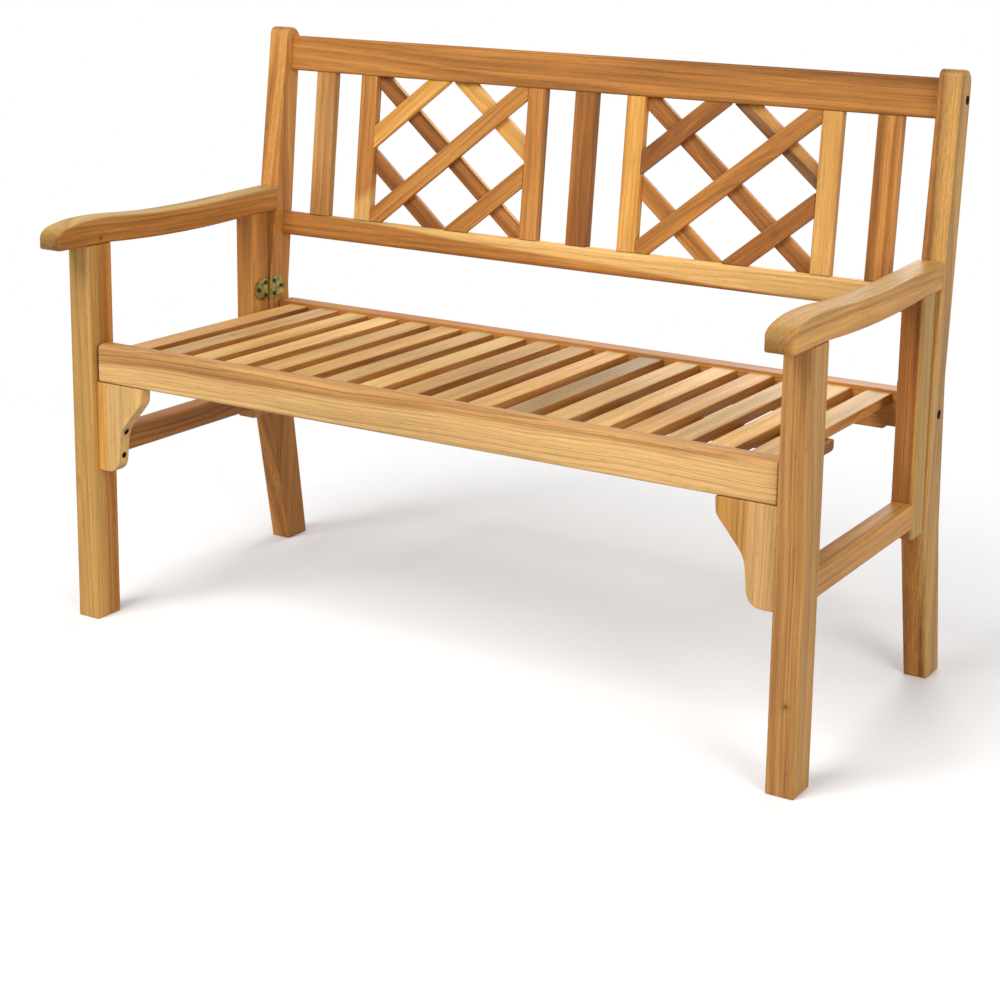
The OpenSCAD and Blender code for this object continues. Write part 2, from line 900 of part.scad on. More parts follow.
module hinge_screws() {
    color(black)
        from_front()
            both_sides()
                at_hinges()
                    for (dir = [-1, 1])
                        at_leaf_screws(dir) {
                            bar_x(-leaf_t - hinge_head_h, -leaf_t, hinge_head_r);
                            bar_x(-leaf_t, hinge_screw_l - leaf_t, hinge_screw_r);
                        }
}

module pivot_pins() {
    color(steel)
        from_front()
            both_sides()
                translate([0, pivot_y, pivot_z])
                    headed_pin(pivot_r);
}

module back_rail_bolts() {
    color(steel)
        from_front()
            both_sides()
                at_rail_bolt()
                    headed_pin(rail_bolt_r);
}

from_front() on_side(-1) rear_leg();  // rear_leg_left
from_front() on_side(1) rear_leg();  // rear_leg_right
top_rail();
lower_back_rail();
for (i = [1:len(BACK_SLATS)])
    back_slat(i);
lattice(-1, true);  // lattice_left_rising
lattice(-1, false);  // lattice_left_falling
lattice(1, true);  // lattice_right_rising
lattice(1, false);  // lattice_right_falling
from_front() on_side(-1) front_leg();  // front_leg_left
from_front() on_side(1) front_leg();  // front_leg_right
from_front() on_side(-1) rear_post();  // rear_post_left
from_front() on_side(1) rear_post();  // rear_post_right
from_front() on_side(-1) armrest();  // armrest_left
from_front() on_side(1) armrest();  // armrest_right
from_front() on_side(-1) stretcher();  // stretcher_left
from_front() on_side(1) stretcher();  // stretcher_right
from_front() on_side(-1) corner_bracket();  // corner_bracket_left
from_front() on_side(1) corner_bracket();  // corner_bracket_right
seat_front_rail();
seat_rear_rail();
seat_mid_rail();
for (i = [1:seat_slats])
    seat_slat(i);
hinge_post_leaves();
hinge_leg_leaves();
hinge_pins();
hinge_screws();
pivot_pins();
back_rail_bolts();
locating_dowels();
bracket_screws();
seat_screws();
bolt_housings();
bolt_screws();
from_front() on_side(-1) bolt_rod();  // bolt_rod_left
from_front() on_side(1) bolt_rod();  // bolt_rod_right
bolt_keeps();
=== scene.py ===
"""Dresses the folding garden bench: oiled hardwood boards, zinc-plated hinges and black steel screws.

Every length in a class is in millimetres and every mesh is in metres, in the bench's own frame:
+X to the right as seen from the front, +Y to the back, +Z up, the origin on the ground.
"""

import json
import logging
import math
from collections.abc import Callable, Sequence
from dataclasses import dataclass, field
from enum import Enum

import bpy
import numpy as np
from mathutils import Matrix, Vector

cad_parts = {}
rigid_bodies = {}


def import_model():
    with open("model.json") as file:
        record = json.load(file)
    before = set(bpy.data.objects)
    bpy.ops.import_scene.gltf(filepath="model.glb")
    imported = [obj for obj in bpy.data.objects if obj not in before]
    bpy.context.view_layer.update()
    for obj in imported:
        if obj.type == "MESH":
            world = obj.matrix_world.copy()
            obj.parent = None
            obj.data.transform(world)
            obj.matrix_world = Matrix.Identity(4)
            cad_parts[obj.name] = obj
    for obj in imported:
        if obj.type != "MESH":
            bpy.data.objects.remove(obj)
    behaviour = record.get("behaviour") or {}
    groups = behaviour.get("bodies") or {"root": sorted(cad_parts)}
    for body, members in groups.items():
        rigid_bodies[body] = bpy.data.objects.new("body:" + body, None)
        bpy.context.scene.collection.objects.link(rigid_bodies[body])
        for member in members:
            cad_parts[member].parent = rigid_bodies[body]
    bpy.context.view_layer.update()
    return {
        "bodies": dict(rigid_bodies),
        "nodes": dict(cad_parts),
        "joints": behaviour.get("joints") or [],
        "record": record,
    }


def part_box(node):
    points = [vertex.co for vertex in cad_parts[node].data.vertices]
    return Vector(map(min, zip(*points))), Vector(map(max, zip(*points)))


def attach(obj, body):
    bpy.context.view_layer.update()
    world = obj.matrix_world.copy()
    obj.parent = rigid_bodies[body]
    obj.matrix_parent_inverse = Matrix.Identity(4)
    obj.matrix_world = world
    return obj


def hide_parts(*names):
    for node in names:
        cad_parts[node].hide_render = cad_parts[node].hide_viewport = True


log = logging.getLogger("bench")

Tree = bpy.types.NodeTree
Node = bpy.types.Node
Socket = bpy.types.NodeSocket
Material = bpy.types.Material
Object = bpy.types.Object
Colour = tuple[float, float, float, float]
Triple = tuple[float, float, float]
Corner = tuple[float, float, float]
Hole = tuple[Vector, Vector, float]

MM = 0.001
PER_METRE = 1000.0
SIDES = {"left": -1.0, "right": 1.0}
X, Y, Z = Vector((1, 0, 0)), Vector((0, 1, 0)), Vector((0, 0, 1))
ORIGIN = Vector((0, 0, 0))
WHITE = (1.0, 1.0, 1.0, 1.0)

# Edges of a board that turn more than this stay sharp.
SHARP_DEG = 40.0

# How many points draw a quarter round.
QUARTER_POINTS = 5

# How much more a large face counts than a small one where their shading meets; 50 is evenly.
LARGE_FACE_WEIGHT = 80

# A Mix node has inputs for plain numbers, vectors and colours. These are the ones for colours.
SHARE, UNDER, OVER, MIXED = 0, 6, 7, 2


def linear(hex_colour: str) -> Colour:
    """Turns an sRGB hex value into linear red, green, blue and alpha.

    Args:
        hex_colour: The colour as "#RRGGBB".

    Returns:
        The linear colour with an alpha of 1.
    """
    parts = [int(hex_colour[i : i + 2], 16) / 255 for i in (1, 3, 5)]
    r, g, b = (c / 12.92 if c <= 0.04045 else ((c + 0.055) / 1.055) ** 2.4 for c in parts)
    return r, g, b, 1.0


def grey(level: float) -> Colour:
    """A linear grey of one level."""
    return level, level, level, 1.0


class Tone(Enum):
    """A board's colours in oiled acacia: its pale, middle and dark heartwood, as sRGB hex values."""

    HONEY = ("#E3B266", "#CA924A", "#9C6730")
    GOLD = ("#EEB766", "#D99B48", "#AB6E2E")
    AMBER = ("#D4964E", "#B97A38", "#845222")
    TAN = ("#CF9C5D", "#B58046", "#87592C")
    RUSSET = ("#C08246", "#9F632C", "#6A3D1A")
    UMBER = ("#A87A48", "#845A32", "#563618")


class Along(Enum):
    """The direction of a straight board's grain in the bench's frame."""

    X = (1.0, 0.0, 0.0)
    Y = (0.0, 1.0, 0.0)
    Z = (0.0, 0.0, 1.0)


@dataclass(frozen=True)
class SapwoodAndLitSide:
    """A pale band along one side of a board: sapwood on most boards, painted light on the lit upper sides of
    the falling lattice strips, and, with each slat's own tone, on the seat slats' tops.

    Attributes:
        side: The side that it lies on, as a direction in the bench's frame.
        start: How far beyond the board's middle it begins, at the grain's low end, in millimetres.
        end: The same at the grain's high end.
        pale: Its colour as an sRGB hex value.
        soft: How gradually it sets in, in millimetres.
        wave: How far its border wanders, in millimetres.
    """

    side: Triple
    start: float
    end: float
    pale: str
    soft: float = 1.5
    wave: float = 12.0

    def shades(self) -> list[Colour]:
        """A lighter, a plain and a darker shade of the band, as linear colours."""
        r, g, b, _ = linear(self.pale)
        return [(min(r * k, 1.0), min(g * k, 1.0), min(b * k, 1.0), 1.0) for k in (1.16, 1.0, 0.66)]


@dataclass(frozen=True)
class Knot:
    """A small knot on a board.

    Attributes:
        place: Its place from the board's middle in the bench's frame, in millimetres.
        radius: Its radius in millimetres.
    """

    place: Triple
    radius: float = 3.0


@dataclass(frozen=True)
class Figure:
    """How a board was cut from its log, which sets what its growth rings draw on its faces.

    Attributes:
        tone: The board's colours.
        seed: Moves the board to another place in the log.
        pith: Distance from the board's middle to the log's heart, in millimetres.
        ring: Width of a growth ring, in millimetres.
        contrast: Strength of the ring lines, from 0 to 1.
        light: Lightens the board, or darkens it below 0, from -0.5 to 0.5.
        sap_and_lit_side: A pale band along one side, or none: sapwood on most boards, painted light on a few
            lit sides.
        knot: A knot, or none.
    """

    tone: Tone
    seed: float
    pith: float = 55.0
    ring: float = 5.0
    contrast: float = 0.3
    light: float = 0.0
    sap_and_lit_side: SapwoodAndLitSide | None = None
    knot: Knot | None = None


def feed(tree: Tree, node: Node, inputs: dict) -> None:
    """Gives a node's inputs what they take.

    Args:
        tree: The node's tree.
        node: The node.
        inputs: By input, another node's output, which is linked, or a plain value.
    """
    for key, value in inputs.items():
        if isinstance(value, Socket):
            tree.links.new(value, node.inputs[key])
        else:
            node.inputs[key].default_value = value


def add(
    tree: Tree,
    kind: str,
    inputs: dict | None = None,
    stops: Sequence[tuple[float, Colour]] = (),
    **settings: object,
) -> Node:
    """Adds a node with its settings, its inputs and, on a colour ramp, its stops.

    Args:
        tree: The tree that it goes into.
        kind: Its type's name, without the leading ShaderNode.
        inputs: What each input takes, an output or a plain value.
        stops: Position and linear colour of each stop of a ramp, in order.
        **settings: Values for the node's own properties.

    Returns:
        The new node.
    """
    node = tree.nodes.new("ShaderNode" + kind)
    for name, value in settings.items():
        setattr(node, name, value)
    feed(tree, node, inputs or {})
    if stops:
        elements = node.color_ramp.elements
        while len(elements) < len(stops):
            elements.new(0.5)
        for element, (position, colour) in zip(elements, stops, strict=True):
            element.position = position
            element.color = colour
    return node


def weighted(tree: Tree, parts: Sequence[tuple[Socket, float]], start: float = 0.0) -> Socket:
    """A weighted sum of several outputs.

    Args:
        tree: The material's node tree.
        parts: The outputs and their weights.
        start: What is added to the sum.

    Returns:
        The sum.
    """
    total: float | Socket = start
    for socket, weight in parts:
        total = add(tree, "Math", {0: socket, 1: weight, 2: total}, operation="MULTIPLY_ADD").outputs[0]
    return total


def new_material(name: str) -> tuple[Material, Tree, Node]:
    """Makes an empty material.

    Args:
        name: The material's name.

    Returns:
        The material, its tree and its shader, which is linked to the output.
    """
    material = bpy.data.materials.new(name)
    material.use_nodes = True
    tree = material.node_tree
    tree.nodes.clear()
    shader = add(tree, "BsdfPrincipled")
    add(tree, "OutputMaterial", {"Surface": shader.outputs["BSDF"]})
    return material, tree, shader


@dataclass(frozen=True)
class Place:
    """A point of a board, measured in three ways, in metres.

    Attributes:
        middle: From the board's middle, with x along the grain and y and z across it.
        log: The same from somewhere in the log, so that no two boards are alike.
        frame: From the board's middle, in the bench's directions.
    """

    middle: Socket
    log: Socket
    frame: Socket


@dataclass(frozen=True)
class Pattern:
    """A noise that is drawn out along the grain.

    Attributes:
        width_mm: Width of a feature across the grain.
        stretch: How many times longer than wide it is.
        detail: Octaves of noise in it.
    """

    width_mm: float
    stretch: float
    detail: float = 1.0


@dataclass(frozen=True)
class OiledAcacia:
    """Acacia sawn, sanded and oiled: soft bands of colour, fine streaks, short dark pores, a satin face.

    A real fibre is about 0.02 mm wide and a real pore 0.2 mm, too fine to show, so both are drawn as
    coarse as they need to show.

    Attributes:
        patches: Broad light and dark patches.
        streaks: Streaks.
        fibres: Bundles of fibres.
        pores: Pores.
        waves: The waves in the pale side band's border.
        seed_step: How far one step of a board's seed moves it in the log, in metres.
        wander_mm: How far the log's heart wanders from its line.
        wander_per_m: How often it does, along and across the log.
        taper: How much a ring's distance from the heart changes for each millimetre along the log.
        border_m: Length over which the pale side band's border runs from its start to its end, as in a long
            rail.
        patch_share: How much the patches darken or lighten the wood.
        band_share: How much the soft bands of several rings do.
        streak_share: How much the streaks do.
        ring_share: How much the wood darkens towards a ring's line.
        ring_level: What is taken off again for the rings, to keep the board's tone.
        fibre_share: How strongly the fibres show in the colour.
        pore_share: How strongly the pores do.
        end_tint: What end grain does to the colour, since it drinks more oil than a side does.
        roughness: Of the oiled face, on average.
        specular: Of the oiled face.
    """

    patches: Pattern = Pattern(60.0, 7.0)
    streaks: Pattern = Pattern(5.0, 34.0, 3.0)
    fibres: Pattern = Pattern(1.5, 50.0, 2.0)
    pores: Pattern = Pattern(1.7, 10.0)
    waves: Pattern = Pattern(26.0, 12.0)
    seed_step: Triple = (0.731, 0.217, 0.389)
    wander_mm: float = 22.0
    wander_per_m: Triple = (3.0, 8.0, 8.0)
    taper: float = 0.014
    border_m: float = 1.2
    patch_share: float = 0.9
    band_share: float = 0.7
    streak_share: float = 0.55
    ring_share: float = 0.22
    ring_level: float = 0.07
    fibre_share: float = 0.85
    pore_share: float = 0.55
    end_tint: Colour = (0.60, 0.52, 0.40, 1.0)
    roughness: float = 0.50
    specular: float = 0.25

    def noise(self, tree: Tree, grain: Socket, pattern: Pattern) -> Socket:
        """Noise drawn out along the grain.

        Args:
            tree: The material's node tree.
            grain: The place in the board's own directions, in metres.
            pattern: Its widths and its detail.

        Returns:
            The noise, about 0.5 on average.
        """
        per_m = PER_METRE / pattern.width_mm
        factors = (per_m / pattern.stretch, per_m, per_m)
        drawn = add(tree, "VectorMath", {0: grain, 1: factors}, operation="MULTIPLY").outputs[0]
        inputs = {"Vector": drawn, "Scale": 1.0, "Detail": pattern.detail, "Roughness": 0.55}
        return add(tree, "TexNoise", inputs).outputs[0]

    def material(self, name: str, figure: Figure, along: Vector, middle: Vector) -> Material:
        """One board's own material.

        Args:
            name: The material's name.
            figure: How the board was cut.
            along: The grain's direction.
            middle: The board's middle, in millimetres.

        Returns:
            The material.
        """
        material, tree, shader = new_material(name)
        place = self.place(tree, figure, along, middle)
        rings, bands = self.rings(tree, place, figure)
        patterns = (self.patches, self.streaks, self.fibres, self.pores)
        patches, streaks, fibres, pores = (self.noise(tree, place.log, p) for p in patterns)

        # Each noise is 0.5 on average, so half of each share is taken off to keep the middle tone.
        shares = (self.patch_share, self.band_share, self.streak_share)
        level = 0.5 - 0.5 * sum(shares) - self.ring_level * figure.contrast - figure.light
        parts = [*zip((patches, bands, streaks), shares, strict=True)]
        parts.append((rings, self.ring_share * figure.contrast))
        colour = self.wood(tree, place, figure, weighted(tree, parts, level))

        # A ring's line is darkest just before the ring's end and a little paler at it.
        darkest, last = grey(1.0 - 0.55 * figure.contrast), grey(1.0 - 0.2 * figure.contrast)
        line = ((0.55, grey(1.0)), (0.93, darkest), (1.0, last))
        fibre = ((0.34, grey(0.82)), (0.60, grey(1.06)))
        pore = ((0.28, grey(0.66)), (0.40, grey(1.0)))
        layers = [
            (add(tree, "ValToRGB", {"Fac": rings}, line).outputs[0], 1.0),
            (add(tree, "ValToRGB", {"Fac": fibres}, fibre).outputs[0], self.fibre_share),
            (add(tree, "ValToRGB", {"Fac": pores}, pore).outputs[0], self.pore_share),
            (self.end_grain(tree, along), 1.0),
        ]
        if figure.knot:
            layers.append((self.knot(tree, place, figure.knot), 1.0))
        for layer, share in layers:
            inputs = {SHARE: share, UNDER: colour, OVER: layer}
            colour = add(tree, "Mix", inputs, data_type="RGBA", blend_type="MULTIPLY").outputs[MIXED]

        limits = {"Value": fibres, "To Min": self.roughness + 0.10, "To Max": self.roughness - 0.08}
        height = weighted(tree, ((fibres, 0.5), (pores, 0.4), (streaks, 0.3)))
        relief = {"Height": height, "Strength": 0.30, "Distance": 0.2 * MM}
        surface = {
            "Base Color": colour,
            "Roughness": add(tree, "MapRange", limits).outputs[0],
            "Specular IOR Level": self.specular,
            "Normal": add(tree, "Bump", relief).outputs[0],
        }
        feed(tree, shader, surface)
        return material

    def place(self, tree: Tree, figure: Figure, along: Vector, middle: Vector) -> Place:
        """Turns the bench's frame into the board's own directions.

        Args:
            tree: The material's node tree.
            figure: How the board was cut.
            along: The grain's direction.
            middle: The board's middle, in millimetres.

        Returns:
            The place, from the board's middle and from somewhere in the log.
        """
        here = add(tree, "TexCoord").outputs["Object"]
        frame = add(tree, "VectorMath", {0: here, 1: tuple(middle * MM)}, operation="SUBTRACT").outputs[0]
        turn = Vector(along).rotation_difference(X).to_euler()
        own = add(tree, "Mapping", {"Vector": frame, "Rotation": turn}).outputs[0]
        moved = tuple(figure.seed * step for step in self.seed_step)
        in_log = add(tree, "VectorMath", {0: own, 1: moved}, operation="ADD").outputs[0]
        return Place(own, in_log, frame)

    def rings(self, tree: Tree, place: Place, figure: Figure) -> tuple[Socket, Socket]:
        """Growth rings: the distance from the log's heart, counted in rings.

        The log tapers, so its rings come out at the faces as long arches, and the heart wanders along it.

        Args:
            tree: The material's node tree.
            place: The place in the board.
            figure: How the board was cut.

        Returns:
            A line pattern that climbs from 0 to 1 within each ring, and soft bands of several rings.
        """
        slow = add(tree, "VectorMath", {0: place.log, 1: self.wander_per_m}, operation="MULTIPLY").outputs[0]
        drift = add(tree, "TexNoise", {"Vector": slow, "Scale": 1.0, "Detail": 2.0, "Roughness": 0.4})
        inputs = {0: drift.outputs["Color"], 1: (0.5, 0.5, 0.5)}
        centred = add(tree, "VectorMath", inputs, operation="SUBTRACT").outputs[0]
        reach = (0.0, self.wander_mm * MM, self.wander_mm * MM)
        sway = add(tree, "VectorMath", {0: centred, 1: reach}, operation="MULTIPLY").outputs[0]
        swayed = add(tree, "VectorMath", {0: place.middle, 1: sway}, operation="ADD").outputs[0]
        turn, pith = figure.seed * 7, figure.pith * MM
        heart = (-1.0, pith * math.cos(turn), pith * math.sin(turn))
        from_heart = add(tree, "VectorMath", {0: swayed, 1: heart}, operation="SUBTRACT").outputs[0]
        across = add(tree, "VectorMath", {0: from_heart, 1: (0.0, 1.0, 1.0)}, operation="MULTIPLY").outputs[0]
        radius = add(tree, "VectorMath", {0: across}, operation="LENGTH").outputs["Value"]
        along = add(tree, "SeparateXYZ", {0: from_heart}).outputs[0]
        per_m = PER_METRE / figure.ring
        count = weighted(tree, ((radius, per_m), (along, self.taper * per_m)), figure.seed)
        soft = {"W": count, "Scale": 0.45, "Detail": 2.0}
        bands = add(tree, "TexNoise", soft, noise_dimensions="1D").outputs[0]
        uneven = weighted(tree, ((bands, 3.0), (count, 1.0)))
        return add(tree, "Math", {0: uneven}, operation="FRACT").outputs[0], bands

    def wood(self, tree: Tree, place: Place, figure: Figure, depth: Socket) -> Socket:
        """The wood's colour by its depth of tone, with the pale side band where the board has one: sapwood on
        most boards, painted light on the lit sides of a few.

        Args:
            tree: The material's node tree.
            place: The place in the board.
            figure: How the board was cut.
            depth: 0 for the palest wood, 1 for the darkest.

        Returns:
            The colour.
        """
        pale, middle, dark = (linear(h) for h in figure.tone.value)
        browns = ((0.18, pale), (0.48, middle), (0.90, dark))
        heartwood = add(tree, "ValToRGB", {"Fac": depth}, browns).outputs[0]
        if not figure.sap_and_lit_side:
            return heartwood
        # The pale band is sapwood on most boards and painted light on the lit sides of a few.
        light, plain, deep = figure.sap_and_lit_side.shades()
        creams = ((0.18, light), (0.46, plain), (0.95, deep))
        sap_and_lit_colour = add(tree, "ValToRGB", {"Fac": depth}, creams).outputs[0]
        inputs = {SHARE: self.border(tree, place, figure.sap_and_lit_side), UNDER: heartwood, OVER: sap_and_lit_colour}
        return add(tree, "Mix", inputs, data_type="RGBA", blend_type="MIX").outputs[MIXED]

    def border(self, tree: Tree, place: Place, sap_and_lit_side: SapwoodAndLitSide) -> Socket:
        """Where a board's pale side band lies, sapwood on most boards and painted light on a few: beyond a
        slanted, slightly wavy line on the way to one side.

        Args:
            tree: The material's node tree.
            place: The place in the board.
            sap_and_lit_side: The band.

        Returns:
            1 in the band and 0 in the heartwood.
        """
        outward = add(tree, "VectorMath", {0: place.frame, 1: sap_and_lit_side.side}, operation="DOT_PRODUCT")
        along = add(tree, "SeparateXYZ", {0: place.middle}).outputs[0]
        wave = self.noise(tree, place.log, self.waves)
        slope = (sap_and_lit_side.start - sap_and_lit_side.end) * MM / self.border_m
        offset = -((sap_and_lit_side.start + sap_and_lit_side.end + sap_and_lit_side.wave) / 2) * MM
        parts = ((outward.outputs["Value"], 1.0), (along, slope), (wave, sap_and_lit_side.wave * MM))
        edge = weighted(tree, parts, offset)
        limits = {"Value": edge, "From Min": -sap_and_lit_side.soft * MM, "From Max": sap_and_lit_side.soft * MM}
        return add(tree, "MapRange", limits, interpolation_type="SMOOTHSTEP").outputs[0]

    def end_grain(self, tree: Tree, along: Vector) -> Socket:
        """How a board's ends darken: their open pores drink more oil than its sides.

        Args:
            tree: The material's node tree.
            along: The grain's direction.

        Returns:
            A factor for the colour: 1 on the sides, darker and browner where the face turns to the grain.
        """
        normal = add(tree, "TexCoord").outputs["Normal"]
        facing = add(tree, "VectorMath", {0: normal, 1: tuple(along)}, operation="DOT_PRODUCT")
        turned = add(tree, "Math", {0: facing.outputs["Value"]}, operation="ABSOLUTE").outputs[0]
        return add(tree, "ValToRGB", {"Fac": turned}, ((0.35, grey(1.0)), (0.95, self.end_tint))).outputs[0]

    def knot(self, tree: Tree, place: Place, knot: Knot) -> Socket:
        """A small round knot with a softer halo round it.

        Args:
            tree: The material's node tree.
            place: The place in the board.
            knot: The knot.

        Returns:
            A factor for the colour: dark in the knot and 1 away from it.
        """
        middle = tuple(c * MM for c in knot.place)
        gap = add(tree, "VectorMath", {0: place.frame, 1: middle}, operation="DISTANCE").outputs["Value"]
        halo = 4.0 * knot.radius * MM
        share = add(tree, "Math", {0: gap, 1: 1.0 / halo}, operation="MULTIPLY").outputs[0]
        spot = ((0.0, grey(0.28)), (0.20, grey(0.45)), (0.30, grey(0.80)), (0.85, grey(1.0)))
        return add(tree, "ValToRGB", {"Fac": share}, spot).outputs[0]


@dataclass(frozen=True)
class PaintedShadeHoleWall:
    """Painted shade inside a drilled hole: its wall is painted near-black brown and flecked with darker
    tears, so that the hole looks dark.

    A torn fibre is finer than the render shows, so the tears are drawn as coarse as they need to show.

    Attributes:
        tear_mm: Size of a tear.
        dark: Colour in a tear.
        light: Colour between the tears.
        roughness: Of the wall.
    """

    tear_mm: float = 0.7
    dark: str = "#1E120A"
    light: str = "#3A2414"
    roughness: float = 0.85

    def material(self) -> Material:
        """Makes the material: painted shade, dark flecks on a near-black brown wall.

        Returns:
            The material.
        """
        material, tree, shader = new_material("hole_wall_painted_shade")
        here = add(tree, "TexCoord").outputs["Object"]
        torn = {"Vector": here, "Scale": PER_METRE / self.tear_mm, "Detail": 2.0}
        tears = add(tree, "TexNoise", torn).outputs[0]
        browns = ((0.3, linear(self.dark)), (0.7, linear(self.light)))
        colour = add(tree, "ValToRGB", {"Fac": tears}, browns).outputs[0]
        feed(tree, shader, {"Base Color": colour, "Roughness": self.roughness})
        return material


@dataclass(frozen=True)
class Fitting:
    """The finish of a metal or moulded fitting: an even sheen, faintly clouded.

    Attributes:
        name: The material's name.
        light: Colour where it is bright.
        dull: Colour where it is clouded.
        roughness: How much it blurs what it reflects.
        metallic: 1 for bare plating, less under a dark coat, 0 for a plastic.
        cloud_mm: Size of the clouds.
    """

    name: str
    light: str
    dull: str
    roughness: float
    metallic: float = 1.0
    cloud_mm: float = 6.0

    def material(self) -> Material:
        """Makes the material: a cloud is duller and a little rougher than the face round it.

        Returns:
            The material.
        """
        material, tree, shader = new_material(self.name)
        here = add(tree, "TexCoord").outputs["Object"]
        noise = {"Vector": here, "Scale": PER_METRE / self.cloud_mm, "Detail": 3.0}
        clouds = add(tree, "TexNoise", noise).outputs[0]
        colours = ((0.35, linear(self.dull)), (0.62, linear(self.light)))
        limits = {"Value": clouds, "To Min": self.roughness + 0.12, "To Max": self.roughness - 0.06}
        relief = {"Height": clouds, "Strength": 0.15, "Distance": 0.1 * MM}
        surface = {
            "Base Color": add(tree, "ValToRGB", {"Fac": clouds}, colours).outputs[0],
            "Roughness": add(tree, "MapRange", limits).outputs[0],
            "Metallic": self.metallic,
            "Normal": add(tree, "Bump", relief).outputs[0],
        }
        feed(tree, shader, surface)
        return material


def rounded_outline(corners: Sequence[Corner], fine: float = 12.0) -> tuple[np.ndarray, np.ndarray]:
    """An outline whose corners are arcs, and the outward direction at each of its points.

    Each corner's arc touches both sides: its centre lies on the corner's bisector at radius / sin(half
    the corner's angle), and its points are spaced evenly by angle.

    Args:
        corners: Corner points as (u, v, radius), anticlockwise.
        fine: The largest turn between two points of an arc, in degrees.

    Returns:
        The points and their outward unit normals, both of shape (n, 2).
    """
    points, normals = [], []
    flat = np.array([c[:2] for c in corners], float)
    for i, (_, _, radius) in enumerate(corners):
        here = flat[i]
        back = flat[i - 1] - here
        ahead = flat[(i + 1) % len(flat)] - here
        back /= np.linalg.norm(back)
        ahead /= np.linalg.norm(ahead)
        half = math.acos(float(np.clip(back @ ahead, -1, 1))) / 2
        bisector = (back + ahead) / np.linalg.norm(back + ahead)
        centre = here + bisector * radius / math.sin(half)
        outward = 1 if back[0] * ahead[1] - back[1] * ahead[0] < 0 else -1
        start = here + back * radius / math.tan(half) - centre
        turn = (math.pi - 2 * half) * outward
        steps = max(2, math.ceil(abs(math.degrees(turn)) / fine))
        angles = math.atan2(start[1], start[0]) + np.linspace(0, turn, steps + 1)
        spokes = np.stack([np.cos(angles), np.sin(angles)], axis=1)
        points.append(centre + radius * spokes)
        normals.append(spokes * outward)
    return np.concatenate(points), np.concatenate(normals)


@dataclass
class Solid:
    """A closed mesh of rings of points, joined by quads and shut by a many-sided face at each end.

    Attributes:
        points: The points of all rings in order, in millimetres, of shape (rings * around, 3).
        rings: How many rings there are.
        around: How many points a ring has.
    """

    points: np.ndarray
    rings: int
    around: int

    def faces(self, first: int = 0) -> list[list[int]]:
        """The side quads between neighbouring rings, and the two end faces.

        Args:
            first: The number of the solid's first point in the mesh.

        Returns:
            The faces as lists of point numbers.
        """
        ring = first + np.arange(self.rings - 1)[:, None] * self.around
        at = np.arange(self.around)[None, :]
        nxt = (at + 1) % self.around
        quads = np.stack([ring + at, ring + nxt, ring + self.around + nxt, ring + self.around + at], axis=-1)
        last = first + (self.rings - 1) * self.around
        ends = [list(range(first, first + self.around))[::-1], list(range(last, last + self.around))]
        return quads.reshape(-1, 4).tolist() + ends


def board(
    corners: Sequence[Corner],
    low: float,
    high: float,
    edge: float,
    axes: tuple[Vector, Vector, Vector],
    origin: Vector = ORIGIN,
) -> Solid:
    """A board: an outline carried from low to high, with both its end edges rounded.

    A point of the ring at angle a lies edge * (1 - sin a) inside the outline and edge * (1 - cos a) from
    the end, for a from 0 to 90 degrees, so the end edge is a quarter round.

    Args:
        corners: The outline's corners as (u, v, radius), anticlockwise when seen from the far end.
        low: Where the board starts along its third axis.
        high: Where it ends.
        edge: Radius of the two end edges.
        axes: The directions of u, v and the third axis.
        origin: Where u, v and the third axis are zero.

    Returns:
        The board.
    """
    points, normals = rounded_outline(corners)
    angle = np.linspace(0, math.pi / 2, QUARTER_POINTS)
    inset = edge * (1 - np.sin(angle))
    rise = edge * (1 - np.cos(angle))
    insets = np.concatenate([inset, inset[::-1]])
    heights = np.concatenate([low + rise, high - rise[::-1]])
    flat = points[None] - normals[None] * insets[:, None, None]
    u, v, w = (np.array(a, float) for a in axes)
    grid = flat[..., :1] * u + flat[..., 1:] * v + heights[:, None, None] * w + np.array(origin, float)
    return Solid(grid.reshape(-1, 3), len(heights), len(points))


def interpolated(outline: np.ndarray, at: np.ndarray, upper: bool) -> np.ndarray:
    """The height of an outline's upper or lower side at some places along it.

    Args:
        outline: The outline's points as (place, height), anticlockwise.
        at: The places.
        upper: Whether the upper side is meant.

    Returns:
        The heights.
    """
    first, last = int(outline[:, 0].argmin()), int(outline[:, 0].argmax())
    chain = np.roll(outline, -first, axis=0)
    turn = (last - first) % len(outline)
    side = chain[turn:][::-1] if upper else chain[: turn + 1]
    order = np.argsort(side[:, 0], kind="stable")
    return np.interp(at, side[order, 0], side[order, 1])


def lofted(
    at: np.ndarray, half: np.ndarray, low: np.ndarray, high: np.ndarray, edge: np.ndarray, middle: float
) -> Solid:
    """A board along Y whose section changes: at each place a rectangle with its own round edges.

    Each corner of a section is a quarter circle whose centre lies one radius inside both sides. The
    section's X is mirrored about its middle, which turns the ring round, so that the faces point outwards.

    Args:
        at: Places along Y.
        half: Half the width at each place.
        low: The underside's height at each place.
        high: The top's height at each place.
        edge: The edges' radius at each place.
        middle: The section's middle along X.

    Returns:
        The board.
    """
    steps = QUARTER_POINTS
    quarters = [np.linspace(start, start + 90, steps) for start in (-90, 0, 90, 180)]
    angle = np.radians(np.concatenate(quarters))
    side_x = np.repeat([1, 1, -1, -1], steps)
    side_z = np.repeat([-1, 1, 1, -1], steps)
    centre_z, tall = (low + high) / 2, (high - low) / 2
    x = middle + side_x * (half - edge)[:, None] + np.cos(angle) * edge[:, None]
    z = centre_z[:, None] + side_z * (tall - edge)[:, None] + np.sin(angle) * edge[:, None]
    y = np.broadcast_to(at[:, None], x.shape)
    return Solid(np.stack([-x + 2 * middle, y, z], axis=-1).reshape(-1, 3), len(at), 4 * steps)


